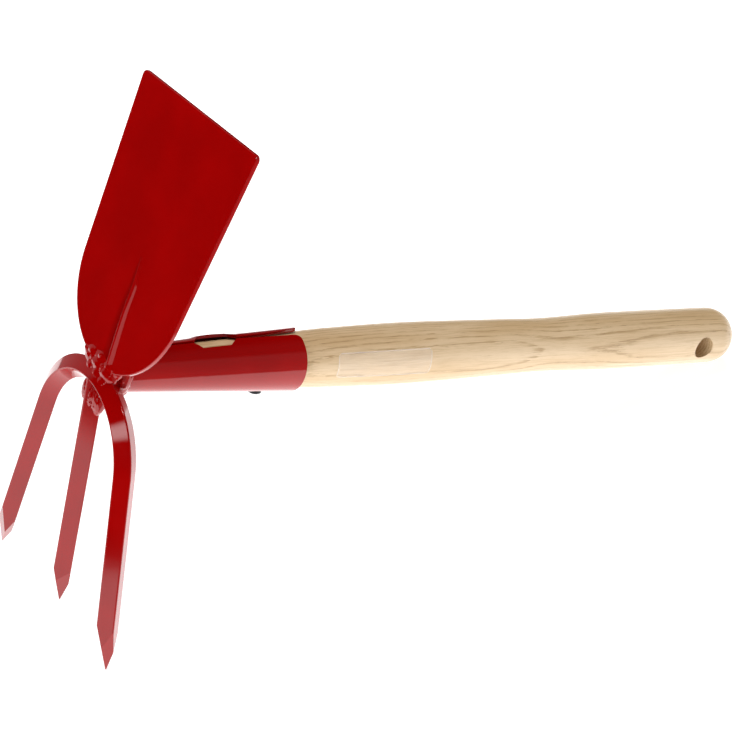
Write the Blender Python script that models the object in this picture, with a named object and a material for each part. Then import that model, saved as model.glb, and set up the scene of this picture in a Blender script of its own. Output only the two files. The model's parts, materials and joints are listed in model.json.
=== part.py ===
"""Hand hoe: a hoe blade and three tines on a rolled socket, with a turned ash handle.

The tool is modelled along its handle. X runs from the head to the grip end and
is zero at the mouth of the socket, Z points to the blade's side and Y across
the tool. An empty then leans the whole tool back and lifts it, so that it
stands on its two outer tine tips and on the underside of the grip. Z = 0 is
the ground, and the origin lies under the middle of the tool.
"""

import math

import bmesh
import bpy
from mathutils import Matrix, Vector

MM = 0.001
GAP = 0.3 * MM
MERGE = 0.01 * MM
ON_PLANE = 0.0001 * MM

# Stance: how far the middle of the standing tool lies from the socket's mouth.
STANCE_SHIFT_X = -77.8 * MM
STANCE_STEP = 0.25 * MM

# Handle: a turned ash grip, with a tapered tenon in the socket.
GRIP_LENGTH = 297.5 * MM
GRIP_END_LENGTH = 15.0 * MM
GRIP_END_POWER = 2.3
GRIP_END_FLAT = 0.6 * MM
GRIP_END_STEPS = 10
GRIP_STATIONS = (
    (0.0 * MM, 13.2 * MM),
    (20.0 * MM, 14.2 * MM),
    (66.0 * MM, 15.2 * MM),
    (130.0 * MM, 14.4 * MM),
    (160.0 * MM, 13.9 * MM),
    (203.0 * MM, 15.2 * MM),
    (272.0 * MM, 15.3 * MM),
    (298.0 * MM, 15.1 * MM),
)
GRIP_STEP = 12.0 * MM
TENON_LENGTH = 84.0 * MM
TENON_CHAMFER = 1.5 * MM
HANDLE_SIDES = 36
HANG_HOLE_X = 268.7 * MM
HANG_HOLE_RADIUS = 6.3 * MM
HANG_HOLE_EASE = 0.7 * MM
HANG_HOLE_FLARE = 2.1 * MM
HANG_HOLE_FLARE_RISE = 4.2 * MM
HANG_HOLE_SIDES = 32

# Socket: sheet rolled to a taper, its open seam on the blade's side.
SOCKET_LENGTH = 92.0 * MM
SOCKET_MOUTH_RADIUS = 15.0 * MM
SOCKET_TAPER = 0.052
SOCKET_WALL = 1.5 * MM
SOCKET_SIDES = 36
SEAM_HALF_GAP_FRONT = 0.45 * MM
SEAM_HALF_GAP_MOUTH = 2.4 * MM
SEAM_CORNER_RADIUS = 3.0 * MM
SEAM_CORNER_STEPS = 4
FRONT_STEPS = 5
NOTCH_STEPS = 4
REAR_STEPS = 5
NOTCH_HALF_WIDTH = 4.5 * MM
NOTCH_FRONT_X = -56.6 * MM
NOTCH_FRONT_RAMP = 3.0 * MM
NOTCH_REAR_X = -33.8 * MM
NOTCH_REAR_RAMP = 4.7 * MM
FLAP_OVERRUN = 2.2 * MM
FLAP_LIFT = 1.3 * MM
FLAP_LIFT_REST = 0.35 * MM
FLAP_LIFT_X = -47.0 * MM
FLAP_LIFT_SPREAD = 13.0 * MM
FLAP_LIFT_ANGLE = math.radians(55.0)

# Blade: flat plate with a round lower end, leaning back towards the grip.
BLADE_TOP_HALF_WIDTH = 48.8 * MM
BLADE_THICKNESS = 2.0 * MM
BLADE_END_RADIUS = 41.8 * MM
BLADE_END_CENTRE = 81.5 * MM
BLADE_END_STEPS = 18
BLADE_CORNER_RADIUS = 2.6 * MM
BLADE_CORNER_STEPS = 5
BLADE_LEAN = math.radians(10.2)
BLADE_TOP_X = -82.6 * MM
BLADE_TOP_Z = 124.7 * MM
BLADE_EDGE_BREAK = 0.35 * MM
BLADE_EDGE_STEPS = 2
BLADE_EDGE_ANGLE = math.radians(60.0)

# Stiffening rib: a low bar welded up the blade, drawn out to a point. Each station
# has its distance down the blade, its place across, its half width and its height.
RIB_STATIONS = (
    (69.6 * MM, -0.9 * MM, 0.15 * MM, 0.2 * MM),
    (76.0 * MM, -2.8 * MM, 0.5 * MM, 0.9 * MM),
    (82.0 * MM, -4.6 * MM, 0.8 * MM, 1.6 * MM),
    (96.0 * MM, -5.3 * MM, 0.95 * MM, 1.7 * MM),
    (119.0 * MM, -7.0 * MM, 1.25 * MM, 1.8 * MM),
)
RIB_FLARE = 0.2
RIB_FLARE_HEIGHT = 0.35
RIB_SHOULDER = 0.8

# Tines: square bar, always set on its edge.
BAR_SIDE = 8.25 * MM
BAR_EDGE_RADIUS = 0.7 * MM
NEAR_ROLL = math.radians(1.5)
FAR_ROLL = math.radians(11.8)
CENTRE_ROLL = math.radians(15.5)
CROWN_X = -103.0 * MM
CROWN_Z = -2.3 * MM
CROWN_RADIUS = 38.1 * MM
CROWN_STEPS = 14
TINE_SPLAY = math.radians(10.7)
OUTER_LEG_LENGTH = 91.9 * MM
OUTER_LEAN = math.tan(math.radians(0.6))
CENTRE_X = -103.4 * MM
CENTRE_TOP_Z = -8.9 * MM
CENTRE_TIP_Z = -122.4 * MM
CENTRE_LEAN = math.tan(math.radians(2.7))
POINT_OFFSET = 1.5 * MM
POINT_FLAT = 1.0 * MM
POINT_SLOPE = math.radians(15.5)
POINT_BACK_SLOPE = math.radians(11.5)
POINT_STOCK = 8.0 * MM
NEAR_POINT = (
    (math.radians(-106.0), POINT_SLOPE),
    (math.radians(155.0), POINT_SLOPE),
    (math.radians(75.0), POINT_SLOPE),
    (math.radians(-20.0), POINT_BACK_SLOPE),
)
FAR_POINT = (
    (math.radians(-72.0), POINT_SLOPE),
    (math.radians(178.0), POINT_SLOPE),
    (math.radians(100.0), POINT_SLOPE),
    (math.radians(20.0), POINT_BACK_SLOPE),
)

# Welds: lumpy beads that fill the corners between the pieces of the head.
WELD_DETAIL = 3
WELD_LUMP = 0.033
WELD_WAVES = (
    Vector((7.0, 2.0, 0.0)),
    Vector((0.0, 9.0, -3.0)),
    Vector((5.0, 0.0, 8.0)),
)
FRONT_WELD_CENTRE = Vector((-105.8, -1.6, 3.0)) * MM
FRONT_WELD_RADII = Vector((4.3, 10.5, 9.5)) * MM
TINE_WELD_CENTRE = Vector((-102.8, -2.4, -12.2)) * MM
TINE_WELD_RADII = Vector((6.6, 7.1, 8.6)) * MM
SOCKET_WELD_CENTRE = Vector((-95.2, 0.0, -0.4)) * MM
SOCKET_WELD_RADII = Vector((7.0, 12.5, 12.3)) * MM
WELD_PARTING_Z = -6.0 * MM
WELD_BACK_STEP = 2.4 * MM

# Screw: through the underside of the socket into the tenon.
SCREW_HEAD_RADIUS = 3.8 * MM
SCREW_HEAD_HEIGHT = 2.4 * MM
SCREW_SHANK_RADIUS = 1.6 * MM
SCREW_LENGTH = 11.0 * MM
SCREW_TIP_RADIUS = 0.2 * MM
SCREW_POINT = 3.0 * MM
SCREW_SIDES = 20
SCREW_DOME_STEPS = 5
SCREW_RIM_SHARE = 0.3
SCREW_X = -16.0 * MM

SHARP_ANGLE = math.radians(35.0)
RED = (0.33, 0.004, 0.003, 1.0)
ASH = (0.66, 0.47, 0.27, 1.0)
BLACK = (0.012, 0.012, 0.013, 1.0)
ENAMEL_ROUGHNESS = 0.2
ASH_ROUGHNESS = 0.5
BLACK_ROUGHNESS = 0.35
BLACK_METALLIC = 0.8


def clear_scene():
    """Remove the objects that the file opened with."""
    for obj in list(bpy.data.objects):
        bpy.data.objects.remove(obj, do_unlink=True)


def make_material(name, colour, roughness, metallic):
    """Return a Principled material with one plain colour."""
    material = bpy.data.materials.new(name)
    material.use_nodes = True
    shader = material.node_tree.nodes["Principled BSDF"]
    shader.inputs["Base Color"].default_value = colour
    shader.inputs["Roughness"].default_value = roughness
    shader.inputs["Metallic"].default_value = metallic
    return material


def make_object(name, shape, parent, material=None):
    """Turn a bmesh into a smooth-shaded object under the parent."""
    bmesh.ops.recalc_face_normals(shape, faces=shape.faces[:])
    mesh = bpy.data.meshes.new(name)
    shape.to_mesh(mesh)
    shape.free()
    mesh.shade_smooth()
    mesh.set_sharp_from_angle(angle=SHARP_ANGLE)
    if material is not None:
        mesh.materials.append(material)
    obj = bpy.data.objects.new(name, mesh)
    bpy.context.scene.collection.objects.link(obj)
    obj.parent = parent
    return obj


def cut(obj, name, shape):
    """Subtract a shape from an object with a live Boolean and a hidden cutter."""
    cutter = make_object(name, shape, obj.parent)
    cutter.hide_render = True
    cutter.display_type = "WIRE"
    modifier = obj.modifiers.new(name, "BOOLEAN")
    modifier.operation = "DIFFERENCE"
    modifier.solver = "EXACT"
    modifier.object = cutter


def loft(rings, closed_start=True):
    """Skin a list of rings of equal count and close the ends."""
    shape = bmesh.new()
    rows = [[shape.verts.new(point) for point in ring] for ring in rings]
    count = len(rows[0])
    for lower, upper in zip(rows, rows[1:]):
        for i in range(count):
            j = (i + 1) % count
            shape.faces.new((lower[i], lower[j], upper[j], upper[i]))
    if closed_start:
        shape.faces.new(rows[0])
    shape.faces.new(rows[-1])
    return shape


def turned(profile, sides):
    """Revolve (x, radius) points about the X axis, from the Z side towards Y."""
    rings = []
    for x, radius in profile:
        turns = (2.0 * math.pi * i / sides for i in range(sides))
        rings.append([Vector((x, radius * math.sin(t), radius * math.cos(t))) for t in turns])
    return loft(rings)


def smooth_between(stations, x):
    """Read a smooth curve through (x, value) stations, with cubic pieces."""
    last = len(stations) - 1
    index = max(i for i in range(last) if i == 0 or stations[i][0] <= x)
    before, start, end, after = (stations[min(max(index + k, 0), last)] for k in (-1, 0, 1, 2))
    span = end[0] - start[0]
    t = (x - start[0]) / span
    start_slope = (end[1] - before[1]) / (end[0] - before[0]) * span
    end_slope = (after[1] - start[1]) / (after[0] - start[0]) * span
    bend = (2.0 * t - 3.0) * t * t
    return (
        start[1] * (1.0 + bend)
        - end[1] * bend
        + start_slope * t * (1.0 - t) ** 2
        - end_slope * t * t * (1.0 - t)
    )


def grip_radius(x):
    """Radius of the grip, which is rounded off at its end."""
    radius = smooth_between(GRIP_STATIONS, x)
    reach = (x - GRIP_LENGTH + GRIP_END_LENGTH) / GRIP_END_LENGTH
    if reach <= 0.0:
        return radius
    return radius * (1.0 - min(reach, 1.0) ** GRIP_END_POWER) ** (1.0 / GRIP_END_POWER)


def tenon_radius(x):
    """Radius of the tenon, which follows the taper of the socket."""
    return GRIP_STATIONS[0][1] + SOCKET_TAPER * x


def handle_profile():
    """Half section of the handle, from the tenon's tip to the grip's end."""
    tip = -TENON_LENGTH
    shoulder = tip + TENON_CHAMFER
    profile = [(tip, tenon_radius(tip) - TENON_CHAMFER), (shoulder, tenon_radius(shoulder))]
    dome = GRIP_LENGTH - GRIP_END_LENGTH
    count = round(dome / GRIP_STEP)
    profile += [(dome * i / count, grip_radius(dome * i / count)) for i in range(count)]
    for i in range(GRIP_END_STEPS):
        x = dome + GRIP_END_LENGTH * math.sin(0.5 * math.pi * i / GRIP_END_STEPS)
        profile.append((x, grip_radius(x)))
    profile.append((GRIP_LENGTH, GRIP_END_FLAT))
    return profile


def hang_hole_drill():
    """Drill along Y for the hang hole, flared where it leaves the round grip."""
    surface = grip_radius(HANG_HOLE_X)
    outside = surface + HANG_HOLE_FLARE
    inside = surface - HANG_HOLE_EASE
    profile = (
        (-outside, HANG_HOLE_RADIUS + HANG_HOLE_FLARE_RISE),
        (-inside, HANG_HOLE_RADIUS),
        (inside, HANG_HOLE_RADIUS),
        (outside, HANG_HOLE_RADIUS + HANG_HOLE_FLARE_RISE),
    )
    drill = turned(profile, HANG_HOLE_SIDES)
    turn = Matrix.Rotation(math.pi / 2, 4, "Z")
    drill.transform(Matrix.Translation((HANG_HOLE_X, 0.0, 0.0)) @ turn)
    return drill


def build_handle(parent, material):
    """Turned handle with its hang hole and the screw's pilot hole."""
    handle = make_object("handle", turned(handle_profile(), HANDLE_SIDES), parent, material)
    cut(handle, "hang_hole_drill", hang_hole_drill())
    cut(handle, "handle_screw_hole", screw_hole())


def socket_radius(x):
    """Outer radius of the rolled socket."""
    return SOCKET_MOUTH_RADIUS + SOCKET_TAPER * x


def seam_half_gap(x):
    """Distance along the surface from the socket's top line to a seam edge."""
    opening = max(0.0, 1.0 - x / NOTCH_REAR_X)
    gap = SEAM_HALF_GAP_FRONT + (SEAM_HALF_GAP_MOUTH - SEAM_HALF_GAP_FRONT) * opening
    into = min((x - NOTCH_FRONT_X) / NOTCH_FRONT_RAMP, (NOTCH_REAR_X - x) / NOTCH_REAR_RAMP)
    gap += (NOTCH_HALF_WIDTH - SEAM_HALF_GAP_FRONT) * max(0.0, min(1.0, into))
    past = max(0.0, x + SEAM_CORNER_RADIUS)
    return gap + SEAM_CORNER_RADIUS - math.sqrt(SEAM_CORNER_RADIUS**2 - past**2)


def flap_share(beyond_edge):
    """How much a point belongs to the far flap: 1 at its edge, fading to 0."""
    fade = max(0.0, 1.0 - beyond_edge / FLAP_LIFT_ANGLE)
    return fade * fade * (3.0 - 2.0 * fade)


def flap_lift(x):
    """How far the edge of the far flap stands off the wood."""
    bulge = math.exp(-(((x - FLAP_LIFT_X) / FLAP_LIFT_SPREAD) ** 2))
    return FLAP_LIFT_REST + (FLAP_LIFT - FLAP_LIFT_REST) * bulge


def even_steps(start, end, count):
    """Places from start towards end in equal steps, the last one left out."""
    return [start + (end - start) * i / count for i in range(count)]


def socket_stations():
    """Places along the socket that catch the notch and the rounded corners."""
    notch_in = NOTCH_FRONT_X + NOTCH_FRONT_RAMP
    notch_out = NOTCH_REAR_X - NOTCH_REAR_RAMP
    stations = even_steps(-SOCKET_LENGTH, NOTCH_FRONT_X, FRONT_STEPS)
    stations += [NOTCH_FRONT_X] + even_steps(notch_in, notch_out, NOTCH_STEPS)
    stations += [notch_out] + even_steps(NOTCH_REAR_X, -SEAM_CORNER_RADIUS, REAR_STEPS)
    for i in range(SEAM_CORNER_STEPS + 1):
        turn = 0.5 * math.pi * i / SEAM_CORNER_STEPS
        stations.append(-SEAM_CORNER_RADIUS * (1.0 - math.sin(turn)))
    return stations


def build_socket(parent, material):
    """Sheet rolled round the tenon, with its notched and partly lifted seam."""
    shape = bmesh.new()
    outer = []
    inner = []
    for x in socket_stations():
        radius = socket_radius(x)
        edge = seam_half_gap(x) / radius
        sweeps = even_steps(0.0, 2.0 * (math.pi - edge), SOCKET_SIDES) + [2.0 * (math.pi - edge)]
        overrun = FLAP_OVERRUN * (1.0 + x / SOCKET_LENGTH)
        for rows, inset in ((outer, 0.0), (inner, SOCKET_WALL)):
            row = []
            for sweep in sweeps:
                share = flap_share(sweep)
                reach = radius + flap_lift(x) * share - inset
                across = reach * math.sin(edge + sweep)
                up = reach * math.cos(edge + sweep)
                row.append(shape.verts.new((x + overrun * share, across, up)))
            rows.append(row)
    for rows in (outer, inner):
        for first, second in zip(rows, rows[1:]):
            for i in range(SOCKET_SIDES):
                shape.faces.new((first[i], first[i + 1], second[i + 1], second[i]))
    for side in (0, -1):
        edges = [(outer_row[side], inner_row[side]) for outer_row, inner_row in zip(outer, inner)]
        close_between(shape, edges)
    for end in (0, -1):
        close_between(shape, list(zip(outer[end], inner[end])))
    socket = make_object("socket", shape, parent, material)
    cut(socket, "socket_screw_hole", screw_hole())


def close_between(shape, pairs):
    """Fill the strip between two rows of points given as pairs."""
    for (a, b), (c, d) in zip(pairs, pairs[1:]):
        shape.faces.new((a, c, d, b))


def blade_point(down, across, proud=0.0):
    """A point on the blade: down from its top edge, across, proud of its front."""
    x = BLADE_TOP_X - down * math.sin(BLADE_LEAN) - proud * math.cos(BLADE_LEAN)
    z = BLADE_TOP_Z - down * math.cos(BLADE_LEAN) + proud * math.sin(BLADE_LEAN)
    return Vector((x, across, z))


def blade_outline():
    """One side of the blade's outline as (down, across), top corner to middle."""
    reach = math.hypot(BLADE_END_CENTRE, BLADE_TOP_HALF_WIDTH)
    taper = math.acos(BLADE_END_RADIUS / reach) - math.atan2(BLADE_END_CENTRE, BLADE_TOP_HALF_WIDTH)
    radius = BLADE_CORNER_RADIUS
    centre = BLADE_TOP_HALF_WIDTH - radius * math.tan(0.5 * (math.pi / 2 + taper))
    outline = []
    for i in range(BLADE_CORNER_STEPS + 1):
        turn = (math.pi / 2 + taper) * i / BLADE_CORNER_STEPS
        outline.append((radius - radius * math.cos(turn), centre + radius * math.sin(turn)))
    for i in range(BLADE_END_STEPS + 1):
        turn = taper + (math.pi / 2 - taper) * i / BLADE_END_STEPS
        down = BLADE_END_CENTRE + BLADE_END_RADIUS * math.sin(turn)
        outline.append((down, BLADE_END_RADIUS * math.cos(turn)))
    return outline


def build_blade(parent, material):
    """Blade plate, cut from sheet, with its edges just broken."""
    half = blade_outline()
    outline = half + [(down, -across) for down, across in reversed(half[:-1])]
    shape = bmesh.new()
    face = shape.faces.new([shape.verts.new(blade_point(*place)) for place in outline])
    extruded = bmesh.ops.extrude_face_region(shape, geom=[face])
    moved = [item for item in extruded["geom"] if isinstance(item, bmesh.types.BMVert)]
    depth = blade_point(0.0, 0.0, -BLADE_THICKNESS) - blade_point(0.0, 0.0)
    bmesh.ops.translate(shape, verts=moved, vec=depth)
    blade = make_object("hoe_blade", shape, parent, material)
    bevel = blade.modifiers.new("broken_edges", "BEVEL")
    bevel.width = BLADE_EDGE_BREAK
    bevel.segments = BLADE_EDGE_STEPS
    bevel.limit_method = "ANGLE"
    bevel.angle_limit = BLADE_EDGE_ANGLE


def rib_shape(grow=0.0):
    """Low bar on the blade's front, drawn out to a point at its upper end."""
    rings = []
    last = len(RIB_STATIONS) - 1
    for i, (down, middle, half_width, height) in enumerate(RIB_STATIONS):
        end = grow * ((i == last) - (i == 0))
        side = (
            (half_width + RIB_FLARE * height + grow, GAP - grow),
            (half_width + grow, GAP + RIB_FLARE_HEIGHT * height),
            (half_width + grow, GAP + RIB_SHOULDER * height + grow),
            (RIB_SHOULDER * half_width + grow, GAP + height + grow),
        )
        section = [(-across, proud) for across, proud in side] + list(reversed(side))
        rings.append([blade_point(down + end, middle + across, proud) for across, proud in section])
    return loft(rings)


def bar_section(roll, grow=0.0):
    """Rounded square on its edge, rolled a little, as (along X, outward) offsets."""
    radius = BAR_EDGE_RADIUS + grow
    corner = (0.5 * BAR_SIDE - BAR_EDGE_RADIUS) * math.sqrt(2.0)
    section = []
    for quarter in range(4):
        middle = roll + quarter * math.pi / 2
        for turn in (-math.pi / 4, 0.0, math.pi / 4):
            along = corner * math.cos(middle) + radius * math.cos(middle + turn)
            outward = corner * math.sin(middle) + radius * math.sin(middle + turn)
            section.append((along, outward))
    return section


def outer_point(across, up):
    """A point in the leaning plane in which the outer bar is bent."""
    return Vector((CROWN_X + (CROWN_Z - up) * OUTER_LEAN, across, up))


def outer_leg(sign, grow=0.0):
    """Half of the bent bar, from the middle of the crown to beyond its tip."""
    swing = math.pi / 2 - TINE_SPLAY
    centre_up = CROWN_Z - CROWN_RADIUS
    path = []
    for i in range(CROWN_STEPS + 1):
        turn = swing * i / CROWN_STEPS
        path.append((CROWN_RADIUS * math.sin(turn), centre_up + CROWN_RADIUS * math.cos(turn), turn))
    reach = OUTER_LEG_LENGTH + POINT_STOCK
    across, up, turn = path[-1]
    path.append((across + reach * math.sin(TINE_SPLAY), up - reach * math.cos(TINE_SPLAY), turn))
    rings = []
    for across, up, turn in path:
        ring = []
        far_share = 0.5 * (1.0 + sign * turn / swing)
        roll = NEAR_ROLL + (FAR_ROLL - NEAR_ROLL) * far_share
        for along, outward in bar_section(roll, grow):
            place = outer_point(across + outward * math.sin(turn), up + outward * math.cos(turn))
            ring.append(Vector((place.x + along, sign * place.y, place.z)))
        rings.append(ring)
    return loft(rings, closed_start=False)


def outer_tip(sign):
    """The tip of an outer tine, on the near side for a sign of -1."""
    swing = math.pi / 2 - TINE_SPLAY
    across = CROWN_RADIUS * math.sin(swing) + OUTER_LEG_LENGTH * math.sin(TINE_SPLAY)
    fall = CROWN_RADIUS * (1.0 - math.cos(swing)) + OUTER_LEG_LENGTH * math.cos(TINE_SPLAY)
    place = outer_point(across, CROWN_Z - fall)
    return Vector((place.x + POINT_OFFSET, sign * place.y, place.z))


def outer_axis(sign):
    """Direction up the leg of an outer tine."""
    flat = math.cos(TINE_SPLAY)
    return Vector((-OUTER_LEAN * flat, -sign * math.sin(TINE_SPLAY), flat)).normalized()


def join_halves(first, second):
    """Move both halves of the bent bar into one shape, merged at the crown."""
    moved = {vert: first.verts.new(vert.co) for vert in second.verts}
    for face in second.faces:
        first.faces.new([moved[vert] for vert in face.verts])
    second.free()
    bmesh.ops.remove_doubles(first, verts=first.verts[:], dist=MERGE)
    return first


def outer_bar_shape(ground=True, grow=0.0):
    """The bent bar, with a ground point on each leg where asked."""
    legs = []
    for sign, facets in ((-1, NEAR_POINT), (1, FAR_POINT)):
        leg = outer_leg(sign, grow)
        if ground:
            grind_point(leg, outer_tip(sign), outer_axis(sign), facets)
        legs.append(leg)
    return join_halves(*legs)


def stance_lean():
    """Slope of the ground, which touches the outer tips and the grip's underside."""
    tip = outer_tip(-1)
    slopes = []
    for i in range(1, round(GRIP_LENGTH / STANCE_STEP)):
        x = i * STANCE_STEP
        slopes.append(math.atan2(-grip_radius(x) - tip.z, x - tip.x))
    return min(slopes)


def centre_bar_shape(top, grow=0.0):
    """Straight bar of the middle tine, from a given height to beyond its tip."""
    rings = []
    for z in (top, CENTRE_TIP_Z - POINT_STOCK):
        x = CENTRE_X + (CENTRE_TOP_Z - z) * CENTRE_LEAN
        section = bar_section(CENTRE_ROLL, grow)
        rings.append([Vector((x + along, outward, z)) for along, outward in section])
    return loft(rings)


def slice_off(shape, origin, normal):
    """Cut away what lies in front of a plane and close the cut."""
    geometry = shape.verts[:] + shape.edges[:] + shape.faces[:]
    result = bmesh.ops.bisect_plane(
        shape, geom=geometry, plane_co=origin, plane_no=normal, clear_outer=True, dist=ON_PLANE
    )
    rim = [item for item in result["geom_cut"] if isinstance(item, bmesh.types.BMEdge)]
    bmesh.ops.edgeloop_fill(shape, edges=rim)


def grind_point(shape, tip, axis, facets):
    """Grind a bar's lower end to a point, each facet an (azimuth, slope) pair."""
    across = axis.cross(Vector((1.0, 0.0, 0.0))).normalized()
    forward = across.cross(axis)
    apex = tip - POINT_FLAT * axis
    for azimuth, slope in facets:
        level = math.cos(azimuth) * forward + math.sin(azimuth) * across
        slice_off(shape, apex, math.cos(slope) * level - math.sin(slope) * axis)
    lean = stance_lean()
    slice_off(shape, tip, Vector((math.sin(lean), 0.0, -math.cos(lean))))


def build_tines(parent, material):
    """The bent bar with the two outer tines, and the middle tine under it."""
    make_object("outer_tine_bar", outer_bar_shape(), parent, material)
    shape = centre_bar_shape(CENTRE_TOP_Z)
    tip_x = CENTRE_X + (CENTRE_TOP_Z - CENTRE_TIP_Z) * CENTRE_LEAN + POINT_OFFSET
    axis = Vector((-CENTRE_LEAN, 0.0, 1.0)).normalized()
    grind_point(shape, Vector((tip_x, 0.0, CENTRE_TIP_Z)), axis, NEAR_POINT)
    make_object("centre_tine", shape, parent, material)


def weld_shape(centre, radii, grow=0.0):
    """A lumpy bead: a stretched ball whose surface swells and dips softly."""
    shape = bmesh.new()
    bmesh.ops.create_icosphere(shape, subdivisions=WELD_DETAIL, radius=1.0)
    for vert in shape.verts:
        way = vert.co.copy()
        size = 1.0 + WELD_LUMP * sum(math.sin(wave.dot(way)) for wave in WELD_WAVES)
        vert.co = centre + Vector(w * (r * size + grow) for w, r in zip(way, radii))
    return shape


def socket_plug():
    """The space of the socket's front end, with a small clearance."""
    front = -SOCKET_LENGTH - GAP
    back = front + 2.0 * SOCKET_WELD_RADII.x
    profile = ((front, socket_radius(front) + GAP), (back, socket_radius(back) + GAP))
    return turned(profile, SOCKET_SIDES)


def build_welds(parent, material):
    """The three weld beads of the head, each cut back from its neighbours."""
    front = weld_shape(FRONT_WELD_CENTRE, FRONT_WELD_RADII)
    forward = blade_point(0.0, 0.0, 1.0) - blade_point(0.0, 0.0)
    slice_off(front, blade_point(0.0, 0.0, GAP), -forward)
    slice_off(front, Vector((0.0, 0.0, WELD_PARTING_Z + 0.5 * GAP)), Vector((0.0, 0.0, -1.0)))
    front_weld = make_object("front_weld", front, parent, material)
    cut(front_weld, "front_weld_bar", outer_bar_shape(ground=False, grow=GAP))
    cut(front_weld, "front_weld_rib", rib_shape(GAP))
    under = weld_shape(TINE_WELD_CENTRE, TINE_WELD_RADII)
    slice_off(under, Vector((0.0, 0.0, WELD_PARTING_Z - 0.5 * GAP)), Vector((0.0, 0.0, 1.0)))
    tine_weld = make_object("tine_weld", under, parent, material)
    cut(tine_weld, "tine_weld_bar", outer_bar_shape(ground=False, grow=GAP))
    cut(tine_weld, "tine_weld_tine", centre_bar_shape(CROWN_Z, GAP))
    behind = weld_shape(SOCKET_WELD_CENTRE, SOCKET_WELD_RADII)
    slice_off(behind, blade_point(0.0, 0.0, -BLADE_THICKNESS - WELD_BACK_STEP), forward)
    socket_weld = make_object("socket_weld", behind, parent, material)
    cut(socket_weld, "socket_weld_bar", outer_bar_shape(ground=False, grow=GAP))
    cut(socket_weld, "socket_weld_bead", weld_shape(TINE_WELD_CENTRE, TINE_WELD_RADII, GAP))
    cut(socket_weld, "socket_weld_socket", socket_plug())


def under_socket(shape):
    """Move a shape made along X, its seat at zero, to the screw's place."""
    seat = socket_radius(SCREW_X) + GAP
    shape.transform(Matrix.Translation((SCREW_X, 0.0, -seat)) @ Matrix.Rotation(math.pi / 2, 4, "Y"))
    return shape


def screw_hole():
    """Clearance hole for the screw, through the sheet and into the wood."""
    profile = (
        (-SCREW_LENGTH - 2.0 * GAP, 2.0 * GAP),
        (-SCREW_LENGTH + SCREW_POINT, SCREW_SHANK_RADIUS + GAP),
        (SCREW_HEAD_HEIGHT, SCREW_SHANK_RADIUS + GAP),
    )
    return under_socket(turned(profile, SCREW_SIDES))


def build_screw(parent, material):
    """Pan-head wood screw, its head against the underside of the socket."""
    profile = [(-SCREW_LENGTH, SCREW_TIP_RADIUS)]
    profile += [(-SCREW_LENGTH + SCREW_POINT, SCREW_SHANK_RADIUS), (0.0, SCREW_SHANK_RADIUS)]
    profile.append((0.0, SCREW_HEAD_RADIUS))
    for i in range(SCREW_DOME_STEPS):
        turn = 0.5 * math.pi * i / SCREW_DOME_STEPS
        height = SCREW_HEAD_HEIGHT * (SCREW_RIM_SHARE + (1.0 - SCREW_RIM_SHARE) * math.sin(turn))
        profile.append((height, SCREW_HEAD_RADIUS * math.cos(turn)))
    make_object("socket_screw", under_socket(turned(profile, SCREW_SIDES)), parent, material)


def make_stance():
    """Empty that carries the tool and brings it to rest on the ground."""
    tip = outer_tip(-1)
    lean = stance_lean()
    stance = bpy.data.objects.new("stance", None)
    bpy.context.scene.collection.objects.link(stance)
    stance.rotation_euler = (0.0, lean, 0.0)
    height = tip.x * math.sin(lean) - tip.z * math.cos(lean)
    stance.location = (STANCE_SHIFT_X, 0.0, height)
    return stance


def main():
    """Build every piece of the tool under the empty that sets its stance."""
    clear_scene()
    stance = make_stance()
    enamel = make_material("red_enamel", RED, ENAMEL_ROUGHNESS, 0.0)
    ash = make_material("ash_wood", ASH, ASH_ROUGHNESS, 0.0)
    black = make_material("black_oxide", BLACK, BLACK_ROUGHNESS, BLACK_METALLIC)
    build_handle(stance, ash)
    build_socket(stance, enamel)
    build_blade(stance, enamel)
    make_object("blade_rib", rib_shape(), stance, enamel)
    build_tines(stance, enamel)
    build_welds(stance, enamel)
    build_screw(stance, black)


main()
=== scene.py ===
"""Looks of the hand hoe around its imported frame: enamel, ash, welds and studio.

Shapes are built in the tool's own frame, in metres. X runs along the handle and
is zero at the socket's mouth, Z points to the blade's side and Y runs across the
tool. The stance then leans the tool back, as it stands in the frame.
"""

import json
import logging
import math
import random
from dataclasses import dataclass, field
from enum import Enum
from typing import Any, Callable, Iterable, Mapping, Sequence

import bmesh
import bpy
from mathutils import Matrix, Vector

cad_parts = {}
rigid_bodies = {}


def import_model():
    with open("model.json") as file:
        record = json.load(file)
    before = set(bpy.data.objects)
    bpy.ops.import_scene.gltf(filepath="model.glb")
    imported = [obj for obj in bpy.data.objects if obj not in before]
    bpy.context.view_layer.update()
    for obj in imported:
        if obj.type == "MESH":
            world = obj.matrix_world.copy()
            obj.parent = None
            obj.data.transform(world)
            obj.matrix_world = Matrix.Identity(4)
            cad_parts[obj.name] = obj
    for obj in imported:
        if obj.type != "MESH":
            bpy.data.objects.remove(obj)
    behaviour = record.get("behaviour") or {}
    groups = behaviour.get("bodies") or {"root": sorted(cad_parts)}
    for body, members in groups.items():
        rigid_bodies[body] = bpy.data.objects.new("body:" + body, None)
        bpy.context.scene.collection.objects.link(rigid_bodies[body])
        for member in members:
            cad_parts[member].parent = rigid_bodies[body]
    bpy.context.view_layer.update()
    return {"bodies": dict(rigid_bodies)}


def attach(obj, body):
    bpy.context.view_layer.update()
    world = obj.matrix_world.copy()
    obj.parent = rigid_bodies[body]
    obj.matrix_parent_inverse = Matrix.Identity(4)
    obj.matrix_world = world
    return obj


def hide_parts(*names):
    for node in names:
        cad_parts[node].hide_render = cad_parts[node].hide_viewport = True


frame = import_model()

log = logging.getLogger("hand_hoe")

MM = 0.001
TURN = 2.0 * math.pi
QUARTER = 0.25 * TURN
BODY = next(iter(frame["bodies"]))
WHITE = (1.0, 1.0, 1.0)
SHARP = math.radians(50.0)
FACE_WEIGHT = 100

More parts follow.
